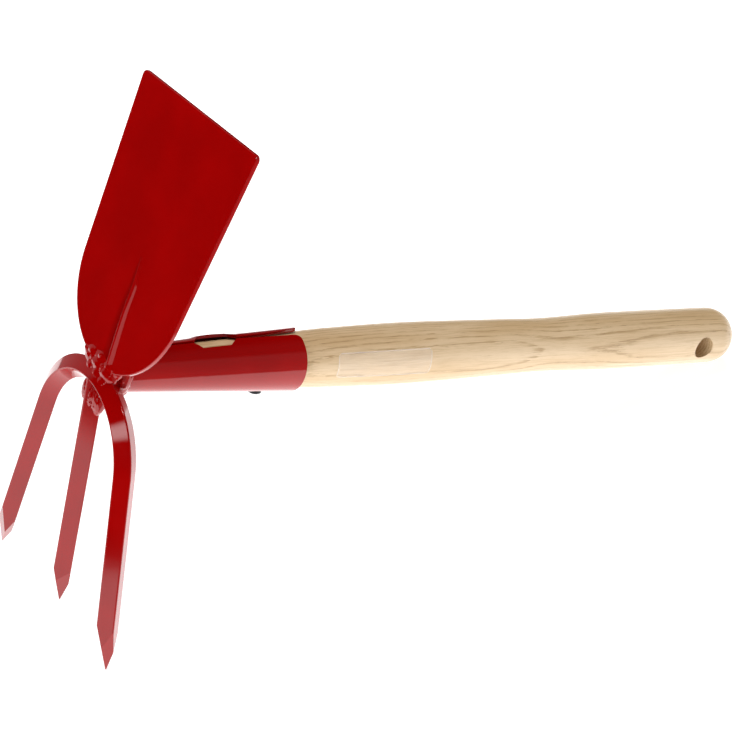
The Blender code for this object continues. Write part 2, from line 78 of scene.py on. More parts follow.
Point = tuple[float, float]
Triple = tuple[float, float, float]
Rows = Sequence[Sequence[Any]]


class Slot(Enum):
    """The record's material slots."""

    ENAMEL = "red_enamel"
    ASH = "ash_wood"
    SCREW = "black_screw"


class Node(Enum):
    """The CAD nodes, by the names that the frame has for them."""

    HANDLE = "handle"
    SOCKET = "socket"
    BLADE = "hoe_blade"
    RIB = "blade_rib"
    OUTER_BAR = "outer_tine_bar"
    CENTRE_TINE = "centre_tine"
    FRONT_WELD = "front_weld"
    TINE_WELD = "tine_weld"
    SOCKET_WELD = "socket_weld"
    SCREW = "socket_screw"


@dataclass(frozen=True)
class Stance:
    """How the tool stands: leaned about Y, then shifted and lifted."""

    lean: float = math.radians(15.6977)
    shift: float = -77.8 * MM
    height: float = 91.899 * MM

    def matrix(self) -> Matrix:
        """Return the turn and move from the tool's frame to the world."""
        place = Matrix.Translation((self.shift, 0.0, self.height))
        return place @ Matrix.Rotation(self.lean, 4, "Y")


STANCE = Stance()


# Small sums


def metres(*rows: Sequence[float]) -> tuple[tuple[float, ...], ...]:
    """Return rows of millimetres in metres."""
    return tuple(tuple(value * MM for value in row) for row in rows)


def shares(count: int) -> list[float]:
    """Return even shares from 0 to 1, both among them."""
    return [i / count for i in range(count + 1)]


def steps(start: float, end: float, pitch: float) -> list[float]:
    """Return even places from start towards end, about a pitch apart, without the end."""
    count = max(1, round(abs(end - start) / pitch))
    return [start + (end - start) * share for share in shares(count)[:-1]]


def about(x: float, radius: float, angle: float) -> Vector:
    """Return the point at a distance from X, by its angle from the top line."""
    return Vector((x, radius * math.sin(angle), radius * math.cos(angle)))


def direction(azimuth: float, elevation: float) -> Vector:
    """Return the way to an azimuth and an elevation, in degrees."""
    turn, rise = math.radians(azimuth), math.radians(elevation)
    return Vector((math.cos(rise) * math.cos(turn), math.cos(rise) * math.sin(turn), math.sin(rise)))


def smooth_between(stations: Sequence[Point], x: float) -> float:
    """Read a smooth curve through stations, with cubic pieces.

    Args:
        stations: The (x, value) pairs, in order.
        x: Where to read it.

    Returns:
        The value there.
    """
    last = len(stations) - 1
    index = max(i for i in range(last) if i == 0 or stations[i][0] <= x)
    before, start, end, after = (stations[min(max(index + k, 0), last)] for k in (-1, 0, 1, 2))
    span = end[0] - start[0]
    t = (x - start[0]) / span
    start_slope = (end[1] - before[1]) / (end[0] - before[0]) * span
    end_slope = (after[1] - start[1]) / (after[0] - start[0]) * span
    bend = (2.0 * t - 3.0) * t * t
    value = start[1] * (1.0 + bend) - end[1] * bend
    return value + start_slope * t * (1.0 - t) ** 2 - end_slope * t * t * (1.0 - t)


# Node trees


class Tree:
    """Adds nodes to one node tree, from a type, its settings and its sockets."""

    def __init__(self, tree: bpy.types.NodeTree) -> None:
        """Keep the tree to add to."""
        self.tree = tree

    def add(
        self,
        kind: str,
        settings: Mapping[str, Any] | None = None,
        sockets: Mapping[str | int, Any] | None = None,
    ) -> bpy.types.Node:
        """Add a node.

        Args:
            kind: The node's type.
            settings: Attributes of the node, which are set first.
            sockets: Values or links of the inputs, by their names or places.

        Returns:
            The new node.
        """
        node = self.tree.nodes.new(kind)
        for name, value in (settings or {}).items():
            setattr(node, name, value)
        for name, value in (sockets or {}).items():
            self.feed(self.entry(node, name), value)
        return node

    @staticmethod
    def entry(node: bpy.types.Node, name: str | int) -> bpy.types.NodeSocket:
        """Return a node's input by its place, or by its name among those in use."""
        named = (s for s in node.inputs if s.name == name and s.enabled)
        return node.inputs[name] if isinstance(name, int) else next(named)

    @staticmethod
    def exit(node: bpy.types.Node, name: str = "") -> bpy.types.NodeSocket:
        """Return a node's output of that name, or its first one in use."""
        return next(s for s in node.outputs if s.enabled and (s.name == name or not name))

    def feed(self, socket: bpy.types.NodeSocket, value: Any) -> None:
        """Link an input to what is given, or set its constant.

        Args:
            socket: The input.
            value: A Value, a node, an output or a constant.
        """
        if isinstance(value, Value):
            value = value.socket
        if isinstance(value, bpy.types.Node):
            value = self.exit(value)
        if isinstance(value, bpy.types.NodeSocket):
            self.tree.links.new(value, socket)
        elif socket.type == "RGBA":
            socket.default_value = (*value, 1.0)
        else:
            socket.default_value = value

    def value(self, node: bpy.types.Node, name: str = "") -> "Value":
        """Wrap a node's output for arithmetic."""
        return Value(self, self.exit(node, name))

    def parts(self, kind: str, output: str) -> tuple["Value", ...]:
        """Return x, y and z of a vector that a node of that type gives."""
        vector = self.exit(self.add(kind), output)
        return self.split(vector)

    def split(self, vector: Any) -> tuple["Value", ...]:
        """Return x, y and z of a vector."""
        apart = self.add("ShaderNodeSeparateXYZ", sockets={"Vector": vector})
        return tuple(self.value(apart, axis) for axis in "XYZ")

    def attribute(self, name: str) -> "Value":
        """Return a piece's own attribute, 0 where it has none."""
        return self.value(self.add("ShaderNodeAttribute", {"attribute_name": name}), "Fac")

    def mix(self, share: Any, first: Any, second: Any) -> bpy.types.Node:
        """Return the colour between two colours, at a share of the second."""
        sockets = {"Factor": share, "A": first, "B": second}
        return self.add("ShaderNodeMix", {"data_type": "RGBA"}, sockets)


@dataclass(frozen=True)
class Value:
    """A number's socket that takes part in Python arithmetic."""

    tree: Tree
    socket: bpy.types.NodeSocket

    def _math(self, operation: str, *terms: Any) -> "Value":
        """Return a Math node's result over the terms."""
        node = self.tree.add("ShaderNodeMath", {"operation": operation}, dict(enumerate(terms)))
        return self.tree.value(node)

    def __add__(self, other: Any) -> "Value":
        """Return the sum."""
        return self._math("ADD", self, other)

    __radd__ = __add__

    def __sub__(self, other: Any) -> "Value":
        """Return this less the other."""
        return self._math("SUBTRACT", self, other)

    def __rsub__(self, other: Any) -> "Value":
        """Return the other less this."""
        return self._math("SUBTRACT", other, self)

    def __mul__(self, other: Any) -> "Value":
        """Return the product."""
        return self._math("MULTIPLY", self, other)

    __rmul__ = __mul__

    def __truediv__(self, other: Any) -> "Value":
        """Return this over the other."""
        return self._math("DIVIDE", self, other)

    def __rtruediv__(self, other: Any) -> "Value":
        """Return the other over this."""
        return self._math("DIVIDE", other, self)

    def __pow__(self, power: float) -> "Value":
        """Return this raised to a power."""
        return self._math("POWER", self, power)

    def __rpow__(self, base: float) -> "Value":
        """Return a base raised to this."""
        return self._math("POWER", base, self)

    def fraction(self) -> "Value":
        """Return what is left past the whole number below."""
        return self._math("FRACT", self)

    def ease(self, low: float, high: float) -> "Value":
        """Ease from 0 to 1 between two limits.

        Args:
            low: Where the step starts.
            high: Where it ends.

        Returns:
            The smooth step.
        """
        sockets = {"Value": self, "From Min": low, "From Max": high}
        node = self.tree.add("ShaderNodeMapRange", {"interpolation_type": "SMOOTHSTEP"}, sockets)
        return self.tree.value(node, "Result")


class Recipe(Tree):
    """A Geometry Nodes tree with named inputs, run on one object at a time."""

    def __init__(self, name: str) -> None:
        """Start a tree that takes and gives a geometry.

        Args:
            name: The tree's name.
        """
        super().__init__(bpy.data.node_groups.new(name, "GeometryNodeTree"))
        self.identifiers: dict[str, str] = {}
        self.start = self.add("NodeGroupInput")
        self.end = self.add("NodeGroupOutput")
        self.shape = self.declare("Geometry", "NodeSocketGeometry")
        self.tree.interface.new_socket("Geometry", in_out="OUTPUT", socket_type="NodeSocketGeometry")

    def declare(self, name: str, kind: str) -> bpy.types.NodeSocket:
        """Add a named input.

        Args:
            name: The input's name.
            kind: Its type.

        Returns:
            The socket that gives it.
        """
        item = self.tree.interface.new_socket(name, in_out="INPUT", socket_type=kind)
        self.identifiers[name] = item.identifier
        return self.start.outputs[name]

    def named(self, name: str, kind: str) -> bpy.types.Node:
        """Return the node that reads a point's own attribute."""
        return self.add("GeometryNodeInputNamedAttribute", {"data_type": kind}, {"Name": name})

    def close(self, shape: Any) -> None:
        """End the tree with real, smooth geometry in its material.

        Args:
            shape: The node or socket that gives the geometry.
        """
        material = self.declare("Material", "NodeSocketMaterial")
        smooth = self.add("GeometryNodeSetShadeSmooth", sockets={"Geometry": shape})
        real = self.add("GeometryNodeRealizeInstances", sockets={"Geometry": smooth})
        dressed = self.add("GeometryNodeSetMaterial", sockets={"Geometry": real, "Material": material})
        self.feed(self.end.inputs["Geometry"], dressed)

    def attach(self, obj: bpy.types.Object, values: Mapping[str, Any]) -> None:
        """Add the tree to an object as a modifier.

        Args:
            obj: The object, not yet evaluated.
            values: The values of the inputs, by their names.
        """
        modifier = obj.modifiers.new(self.tree.name, "NODES")
        modifier.node_group = self.tree
        for name, value in values.items():
            modifier[self.identifiers[name]] = value


# Meshes


def fill(shape: bmesh.types.BMesh, rows: Rows) -> None:
    """Fill the faces between neighbouring rows of points.

    Args:
        shape: The shape that has the points.
        rows: The rows, of equal count.
    """
    for first, second in zip(rows, rows[1:]):
        for i in range(len(first) - 1):
            shape.faces.new((first[i], first[i + 1], second[i + 1], second[i]))


def plate(shape: bmesh.types.BMesh, outer: Rows, inner: Rows) -> None:
    """Fill two sheets of points and the strips that join their rims.

    Args:
        shape: The shape that has the points.
        outer: The rows of one sheet.
        inner: The rows of the other, of the same counts.
    """
    rims = [[[row[side] for row in sheet] for sheet in (outer, inner)] for side in (0, -1)]
    rims += [[sheet[end] for sheet in (outer, inner)] for end in (0, -1)]
    for rows in (outer, inner, *rims):
        fill(shape, rows)


def skin(rings: Sequence[Sequence[Vector]], cap_start: bool = True) -> bmesh.types.BMesh:
    """Skin rings of equal count and close the ends.

    Args:
        rings: The rings of points, in order.
        cap_start: Whether the first ring is closed too.

    Returns:
        The new shape, with its faces not yet turned outwards.
    """
    shape = bmesh.new()
    rows = [[shape.verts.new(point) for point in ring] for ring in rings]
    fill(shape, [row + row[:1] for row in rows])
    for row in (rows[0], rows[-1]) if cap_start else (rows[-1],):
        shape.faces.new(row)
    return shape


def turned(profile: Iterable[Point], sides: int) -> bmesh.types.BMesh:
    """Turn a solid about X.

    Args:
        profile: Its half section, as (x, radius) points.
        sides: The count of points round it.

    Returns:
        The new shape, with its faces not yet turned outwards.
    """
    angles = [TURN * share for share in shares(sides)[:-1]]
    return skin([[about(x, radius, angle) for angle in angles] for x, radius in profile])


def join(shape: bmesh.types.BMesh, other: bmesh.types.BMesh) -> None:
    """Move another shape's faces into a shape.

    Args:
        shape: The shape that grows.
        other: The shape that is used up.
    """
    moved = {vert: shape.verts.new(vert.co) for vert in other.verts}
    for face in other.faces:
        shape.faces.new([moved[vert] for vert in face.verts])
    other.free()


def slice_off(shape: bmesh.types.BMesh, origin: Vector, normal: Vector) -> None:
    """Cut away what lies in front of a plane and close the cut.

    Args:
        shape: The shape to cut.
        origin: A point of the plane.
        normal: The plane's normal, towards what goes.
    """
    geometry = shape.verts[:] + shape.edges[:] + shape.faces[:]
    result = bmesh.ops.bisect_plane(
        shape, geom=geometry, plane_co=origin, plane_no=normal, clear_outer=True, dist=1e-7
    )
    rim = [item for item in result["geom_cut"] if isinstance(item, bmesh.types.BMEdge)]
    bmesh.ops.edgeloop_fill(shape, edges=rim)


def to_mesh(shape: bmesh.types.BMesh, name: str, crease: float | None = None) -> bpy.types.Mesh:
    """Turn a shape's faces outwards and make a smooth-shaded mesh of it.

    Args:
        shape: The shape, which is used up.
        name: The mesh's name.
        crease: The angle past which an edge stays sharp.

    Returns:
        The new mesh.
    """
    bmesh.ops.recalc_face_normals(shape, faces=shape.faces[:])
    mesh = bpy.data.meshes.new(name)
    shape.to_mesh(mesh)
    shape.free()
    mesh.shade_smooth()
    if crease is not None:
        mesh.set_sharp_from_angle(angle=crease)
    return mesh


def holder(mesh: bpy.types.Mesh, name: str = "") -> bpy.types.Object:
    """Put a mesh in the scene.

    Args:
        mesh: The mesh.
        name: The object's name, if it isn't the mesh's.

    Returns:
        The object that carries the mesh.
    """
    obj = bpy.data.objects.new(name or mesh.name, mesh)
    bpy.context.scene.collection.objects.link(obj)
    return obj


def settle(obj: bpy.types.Object, name: str, *helpers: bpy.types.Object) -> bpy.types.Mesh:
    """Evaluate an object's modifiers into a plain mesh and remove the object.

    Args:
        obj: The object with its modifiers.
        name: The new mesh's name.
        helpers: Other objects that the modifiers used, removed too.

    Returns:
        The new mesh.
    """
    graph = bpy.context.evaluated_depsgraph_get()
    mesh = bpy.data.meshes.new_from_object(obj.evaluated_get(graph))
    mesh.name = name
    for used in (obj, *helpers):
        used.modifiers.clear()
        bpy.data.objects.remove(used)
    return mesh


def modify(obj: bpy.types.Object, name: str, kind: str, **settings: Any) -> None:
    """Add a modifier to an object.

    Args:
        obj: The object.
        name: The modifier's name.
        kind: Its type.
        settings: Its settings.
    """
    modifier = obj.modifiers.new(name, kind)
    for setting, value in settings.items():
        setattr(modifier, setting, value)


def round_edges(obj: bpy.types.Object, width: float, segments: int) -> None:
    """Round an object's sharp edges and keep its flat faces flat.

    Args:
        obj: The object.
        width: How far in from each edge the rounding starts.
        segments: The count of faces across it.
    """
    limit = {"limit_method": "ANGLE", "angle_limit": SHARP, "harden_normals": True}
    modify(obj, "rounded_edges", "BEVEL", width=width, segments=segments, **limit)


def weigh_normals(mesh: bpy.types.Mesh) -> bpy.types.Mesh:
    """Lead a mesh's normals by its large faces, so that flats shade flat.

    Args:
        mesh: The mesh, which is used up.

    Returns:
        The mesh with its new normals.
    """
    obj = holder(mesh)
    modify(obj, "weigh_normals", "WEIGHTED_NORMAL", keep_sharp=True, weight=FACE_WEIGHT)
    return settle(obj, mesh.name)


# Finishes, whose patterns and heights are in millimetres


@dataclass(frozen=True)
class Pattern:
    """A noise, by its scale across the tool, and its own scale along it where it has one."""

    scale: float
    detail: float = 2.0
    rough: float = 0.5
    along: float | None = None
    span: Point = (0.0, 1.0)

    def over(self, tree: Tree, place: Any) -> Value:
        """Return the noise over a place.

        Args:
            tree: The material's tree.
            place: The place, in the tool's frame.

        Returns:
            The noise, from 0 to 1.
        """
        scale = self.scale
        if self.along is not None:
            stretch = (self.along, scale, scale)
            place = tree.add("ShaderNodeMapping", sockets={"Vector": place, "Scale": stretch})
            scale = 1.0
        sockets = {"Vector": place, "Scale": scale, "Detail": self.detail, "Roughness": self.rough}
        return tree.value(tree.add("ShaderNodeTexNoise", sockets=sockets), "Fac")

    def mask(self, tree: Tree, place: Any) -> Value:
        """Return the noise eased from 0 to 1 over its span."""
        return self.over(tree, place).ease(*self.span)


@dataclass(frozen=True)
class Finish:
    """What every finish has: its name, and a coat over the tool's own frame."""

    name: str

    def coat(self, tree: Tree, place: Any) -> dict[str, Any]:
        """Return the shader's inputs over a place."""
        raise NotImplementedError

    def make(self) -> bpy.types.Material:
        """Make the material.

        Returns:
            The new material.
        """
        material = bpy.data.materials.new(self.name)
        material.use_nodes = True
        tree = Tree(material.node_tree)
        sockets = {
            "Vector": tree.exit(tree.add("ShaderNodeTexCoord"), "Object"),
            "Location": (STANCE.shift, 0.0, STANCE.height),
            "Rotation": (0.0, STANCE.lean, 0.0),
            "Scale": (MM, MM, MM),
        }
        place = tree.add("ShaderNodeMapping", {"vector_type": "TEXTURE"}, sockets)
        shader = material.node_tree.nodes["Principled BSDF"]
        for name, value in self.coat(tree, place).items():
            tree.feed(shader.inputs[name], value)
        return material

    @staticmethod
    def relief(tree: Tree, height: Value) -> bpy.types.Node:
        """Return the bump of a height."""
        return tree.add("ShaderNodeBump", sockets={"Height": height, "Distance": MM})


@dataclass(frozen=True)
class Enamel(Finish):
    """Glossy dipped enamel, a little uneven as it ran, with painted shade where a piece marks it."""

    colour: Triple = (0.275, 0.0004, 0.0004)
    deep: Triple = (0.235, 0.0003, 0.0003)
    # Painted shade: the darker colour beside the rib stands in for the rib's shadow.
    painted_shade: Triple = (0.125, 0.0002, 0.0002)
    tone: Pattern = Pattern(0.03, 3.0, span=(0.3, 0.7))
    ripple: Pattern = Pattern(0.16)
    ripple_height: float = 0.006
    sag: Pattern = Pattern(0.035, 1.0)
    sag_height: float = 0.02
    haze: Pattern = Pattern(0.5, 4.0)
    haze_share: float = 0.03
    roughness: float = 0.05
    ior: float = 1.5

    def coat(self, tree: Tree, place: Any) -> dict[str, Any]:
        """Coat a place in enamel.

        Args:
            tree: The material's tree.
            place: The place, in the tool's frame.

        Returns:
            The shader's inputs, by their names.
        """
        colour = tree.mix(self.tone.mask(tree, place), self.deep, self.colour)
        ripple = self.ripple.over(tree, place) * self.ripple_height
        sag = self.sag.over(tree, place) * self.sag_height
        return {
            # Painted shade: the base colour darkens where a piece's attribute marks shade beside the rib.
            "Base Color": tree.mix(tree.attribute("shaded_pool"), colour, self.painted_shade),
            "Roughness": self.haze.over(tree, place) * self.haze_share + self.roughness,
            "Normal": self.relief(tree, ripple + sag),
            "IOR": self.ior,
        }


@dataclass(frozen=True)
class Ash(Finish):
    """Turned ash: growth rings with rows of open pores, under a thin lacquer."""

    light: Triple = (0.61, 0.45, 0.275)
    body: Triple = (0.53, 0.365, 0.195)
    line: Triple = (0.37, 0.235, 0.10)
    pore: Triple = (0.26, 0.15, 0.06)
    tone: Pattern = Pattern(0.07, along=0.010, span=(0.35, 0.65))
    pith: Point = (66.0, -13.0)
    ring: float = 1.9
    drift: float = -0.004
    sway: Pattern = Pattern(0.022, rough=0.4, along=0.012)
    sway_width: float = 5.0
    tremble: Pattern = Pattern(0.8, 3.0, along=0.06)
    tremble_share: float = 0.3
    early_start: Point = (0.0, 0.10)
    early_end: Point = (0.13, 0.44)
    fibre: Pattern = Pattern(1.1, 4.0, 0.62, along=0.022)
    grain_span: Point = (0.38, 0.60)
    grain_share: float = 0.75
    streak_span: Point = (0.48, 0.70)
    streak_share: float = 0.42
    dash: Pattern = Pattern(1.9, 2.0, 0.55, along=0.10, span=(0.53, 0.64))
    dash_share: float = 0.2
    dash_early_share: float = 0.8
    vessel: Pattern = Pattern(4.2, 1.0, along=0.18, span=(0.60, 0.70))
    vessel_share: float = 0.15
    vessel_early_share: float = 0.6
    fibre_height: float = 0.02
    vessel_depth: float = 0.06
    roughness: float = 0.28
    fibre_roughness: float = 0.12
    vessel_roughness: float = 0.25
    ior: float = 1.6

    def early_wood(self, tree: Tree, place: Any) -> Value:
        """Return where the porous early wood of the growth rings lies.

        Args:
            tree: The material's tree.
            place: The place, in the tool's frame.

        Returns:
            1 in early wood, easing to 0 in late wood.
        """
        x, y, z = tree.split(place)
        across = ((y - self.pith[0]) ** 2.0 + (z - self.pith[1]) ** 2.0) ** 0.5
        sway = self.sway.over(tree, place) * self.sway_width
        rings = (across + x * self.drift + sway) / self.ring
        phase = (rings + self.tremble.over(tree, place) * self.tremble_share).fraction()
        return phase.ease(*self.early_start) * (1.0 - phase.ease(*self.early_end))

    def coat(self, tree: Tree, place: Any) -> dict[str, Any]:
        """Show the wood at a place.

        Args:
            tree: The material's tree.
            place: The place, in the tool's frame.

        Returns:
            The shader's inputs, by their names.
        """
        early = self.early_wood(tree, place)
        fibre = self.fibre.over(tree, place)
        dash = self.dash.mask(tree, place) * (early * self.dash_early_share + self.dash_share)
        vessel_share = early * self.vessel_early_share + self.vessel_share
        vessel = self.vessel.mask(tree, place) * vessel_share
        colour = tree.mix(self.tone.mask(tree, place), self.body, self.light)
        layers = (
            (early * fibre.ease(*self.grain_span) * self.grain_share, self.line),
            (fibre.ease(*self.streak_span) * self.streak_share, self.line),
            (dash, self.line),
            (vessel, self.pore),
        )
        for share, tint in layers:
            colour = tree.mix(share, colour, tint)
        roughness = self.roughness + fibre * self.fibre_roughness + vessel * self.vessel_roughness
        height = fibre * self.fibre_height - vessel * self.vessel_depth
        relief = self.relief(tree, height)
        return {"Base Color": colour, "Roughness": roughness, "Normal": relief, "IOR": self.ior}


@dataclass(frozen=True)
class BlackOxide(Finish):
    """Blackened steel of the screw, faintly mottled."""

    colour: Triple = (0.012, 0.012, 0.013)
    pale: Triple = (0.03, 0.03, 0.032)
    mottle: Pattern = Pattern(0.9, 4.0, span=(0.35, 0.75))
    mottle_height: float = 0.01
    mottle_roughness: float = 0.15
    roughness: float = 0.32
    metallic: float = 0.6

    def coat(self, tree: Tree, place: Any) -> dict[str, Any]:
        """Blacken a place.

        Args:
            tree: The material's tree.
            place: The place, in the tool's frame.

        Returns:
            The shader's inputs, by their names.
        """
        mottle = self.mottle.mask(tree, place)
        return {
            "Base Color": tree.mix(mottle, self.colour, self.pale),
            "Roughness": self.roughness + mottle * self.mottle_roughness,
            "Normal": self.relief(tree, mottle * self.mottle_height),
            "Metallic": self.metallic,
        }


@dataclass(frozen=True)
class ClearFilm(Finish):
    """Bare clear film, a little milky, with a paler cut edge."""

    colour: Triple = (0.93, 0.88, 0.82)
    pale: Triple = (0.97, 0.94, 0.90)
    cloud: Pattern = Pattern(0.12, 3.0)
    cloud_tone: float = 0.16
    cloud_haze: float = 0.04
    cloud_roughness: float = 0.08
    haze: float = 0.05
    rim_haze: float = 0.30
    roughness: float = 0.22

    def coat(self, tree: Tree, place: Any) -> dict[str, Any]:
        """Cover a place in film.

        Args:
            tree: The material's tree.
            place: The place, in the tool's frame.

        Returns:
            The shader's inputs, by their names.
        """
        cloud = self.cloud.over(tree, place)
        return {
            "Base Color": tree.mix(cloud * self.cloud_tone, self.colour, self.pale),
            "Alpha": cloud * self.cloud_haze + self.haze + tree.attribute("rim") * self.rim_haze,
            "Roughness": cloud * self.cloud_roughness + self.roughness,
        }


@dataclass
class Palette:
    """The materials of the tool, made once."""

    enamel: bpy.types.Material
    weld: bpy.types.Material
    ash: bpy.types.Material
    screw: bpy.types.Material
    film: bpy.types.Material

    @classmethod
    def make(cls) -> "Palette":
        """Make every material."""
        return cls(
            enamel=Enamel("red_enamel").make(),
            weld=Enamel("weld_enamel", roughness=0.04, ripple_height=0.02, ior=1.55).make(),
            ash=Ash("lacquered_ash").make(),
            screw=BlackOxide("black_oxide").make(),
            film=ClearFilm("clear_film").make(),
        )


# Pieces


def place_piece(
    name: str,
    mesh: bpy.types.Mesh,
    material: bpy.types.Material,
    node: Node | None = None,
) -> None:
    """Stand a piece's mesh in the world, dress it and let it ride.

    Args:
        name: The piece's name.
        mesh: Its mesh, in the tool's frame.
        material: Its finish.
        node: The CAD node that it stands for.
    """
    mesh.transform(STANCE.matrix())
    mesh.materials.clear()
    mesh.materials.append(material)
    piece = holder(mesh, name)
    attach(piece, BODY)
    if node is not None:
        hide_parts(node.value)
    log.info("%s: %d faces", name, len(mesh.polygons))


class Lathe(Recipe):
    """Turns a line of points, each with its radius, into a round solid."""

    def __init__(self) -> None:
        """Build the tree."""
        super().__init__("turn_on_lathe")
        sides = {"Resolution": self.declare("Sides", "NodeSocketInt"), "Radius": 1.0}
        circle = self.add("GeometryNodeCurvePrimitiveCircle", sockets=sides)
        line = self.add("GeometryNodeMeshToCurve", sockets={"Mesh": self.shape})
        radius = self.named("radius", "FLOAT")
        sockets = {"Curve": line, "Profile Curve": circle, "Scale": radius, "Fill Caps": True}
        self.close(self.add("GeometryNodeCurveToMesh", sockets=sockets))


class BeadDrops(Recipe):
    """Puts a ball on every point, stretched by the point's own radii."""

    def __init__(self) -> None:
        """Build the tree."""
        super().__init__("weld_drops")
        sockets = {"Radius": 1.0, "Subdivisions": self.declare("Detail", "NodeSocketInt")}
        ball = self.add("GeometryNodeMeshIcoSphere", sockets=sockets)
        radii = self.named("radii", "FLOAT_VECTOR")
        sockets = {"Points": self.shape, "Instance": ball, "Scale": radii}
        self.close(self.add("GeometryNodeInstanceOnPoints", sockets=sockets))


class FrozenRipple(Recipe):
    """Pushes a surface in and out by a noise, as weld metal freezes."""

    def __init__(self) -> None:
        """Build the tree."""
        super().__init__("frozen_ripple")
        height = Value(self, self.declare("Height", "NodeSocketFloat"))
        sockets = {"Scale": self.declare("Scale", "NodeSocketFloat"), "Detail": 2.0}
        noise = self.value(self.add("ShaderNodeTexNoise", sockets=sockets), "Fac")
        sockets = {"Vector": self.add("GeometryNodeInputNormal"), "Scale": (noise - 0.5) * height}
        offset = self.add("ShaderNodeVectorMath", {"operation": "SCALE"}, sockets)
        sockets = {"Geometry": self.shape, "Offset": offset}
        self.close(self.add("GeometryNodeSetPosition", sockets=sockets))


@dataclass
class TurnedHandle:
    """Ash handle: a turned grip with its hang hole, and the tenon in the socket."""

    length: float = 297.5 * MM
    end_length: float = 15.0 * MM
    end_power: float = 2.3
    end_flat: float = 0.6 * MM
    stations: tuple[Point, ...] = metres(
        (0.0, 13.2),
        (20.0, 14.2),
        (66.0, 15.2),
        (130.0, 14.4),
        (160.0, 13.9),
        (203.0, 15.2),
        (272.0, 15.3),
        (298.0, 15.1),
    )
    tenon_length: float = 84.0 * MM
    tenon_chamfer: float = 1.5 * MM
    tenon_taper: float = 0.052
    tenon_pitch: float = 10.0 * MM
    pitch: float = 2.5 * MM
    end_steps: int = 28
    sides: int = 128
    hole_x: float = 268.7 * MM
    hole_radius: float = 6.3 * MM
    hole_ease: float = 0.7 * MM
    hole_ease_steps: int = 4
    hole_sides: int = 64
    crease: float = math.radians(40.0)

    def radius(self, x: float) -> float:
        """Return the grip's radius, which rounds off at its end.

        Args:
            x: The place along the grip.

        Returns:
            The radius there.
        """
        radius = smooth_between(self.stations, x)
        reach = (x - self.length + self.end_length) / self.end_length
        if reach <= 0.0:
            return radius
        return radius * (1.0 - min(reach, 1.0) ** self.end_power) ** (1.0 / self.end_power)

    def profile(self) -> list[Point]:
        """Draw the half section from the tenon's tip to the grip's end.

        Returns:
            The (x, radius) points.
        """
        first = self.stations[0][1]
        tip = -self.tenon_length
        dome = self.length - self.end_length
        tenon = steps(tip + self.tenon_chamfer, 0.0, self.tenon_pitch)
        grip = steps(0.0, dome, self.pitch)
        grip += [dome + self.end_length * math.sin(QUARTER * t) for t in shares(self.end_steps)[:-1]]
        points = [(tip, first + self.tenon_taper * tip - self.tenon_chamfer)]
        points += [(x, first + self.tenon_taper * x) for x in tenon]
        points += [(x, self.radius(x)) for x in grip]
        return points + [(self.length, self.end_flat)]

    def blank(self) -> bpy.types.Object:
        """Make the line of points that the lathe turns.

        Returns:
            An object that carries it.
        """
        profile = self.profile()
        mesh = bpy.data.meshes.new("handle_blank")
        edges = [(i, i + 1) for i in range(len(profile) - 1)]
        mesh.from_pydata([(x, 0.0, 0.0) for x, _ in profile], edges, [])
        radius = mesh.attributes.new("radius", "FLOAT", "POINT")
        radius.data.foreach_set("value", [r for _, r in profile])
        return holder(mesh)

    def drill(self) -> bpy.types.Object:
        """Make the cutter of the hang hole, rounded over where it leaves the grip.

        Returns:
            The cutter.
        """
        surface = self.radius(self.hole_x)
        half = []
        for t in shares(self.hole_ease_steps):
            out = surface - self.hole_ease * (1.0 - math.sin(QUARTER * t))
            half.append((out, self.hole_radius + self.hole_ease * (1.0 - math.cos(QUARTER * t))))
        half.append((surface + 2.0 * self.hole_ease, half[-1][1] + self.hole_ease))
        shape = turned([(-x, r) for x, r in reversed(half)] + half, self.hole_sides)
        across = Matrix.Rotation(QUARTER, 4, "Z")
        shape.transform(Matrix.Translation((self.hole_x, 0.0, 0.0)) @ across)
        return holder(to_mesh(shape, "hang_hole_drill"))

    def build(self, palette: Palette) -> None:
        """Turn the handle, drill its hang hole and dress it.

        Args:
            palette: The tool's materials.
        """
        obj = self.blank()
        Lathe().attach(obj, {"Sides": self.sides, "Material": palette.ash})
        drill = self.drill()
        modify(obj, "hang_hole", "BOOLEAN", operation="DIFFERENCE", solver="EXACT", object=drill)
        mesh = settle(obj, "ash_handle", drill)
        mesh.set_sharp_from_angle(angle=self.crease)
        place_piece("ash_handle", mesh, palette.ash, Node.HANDLE)


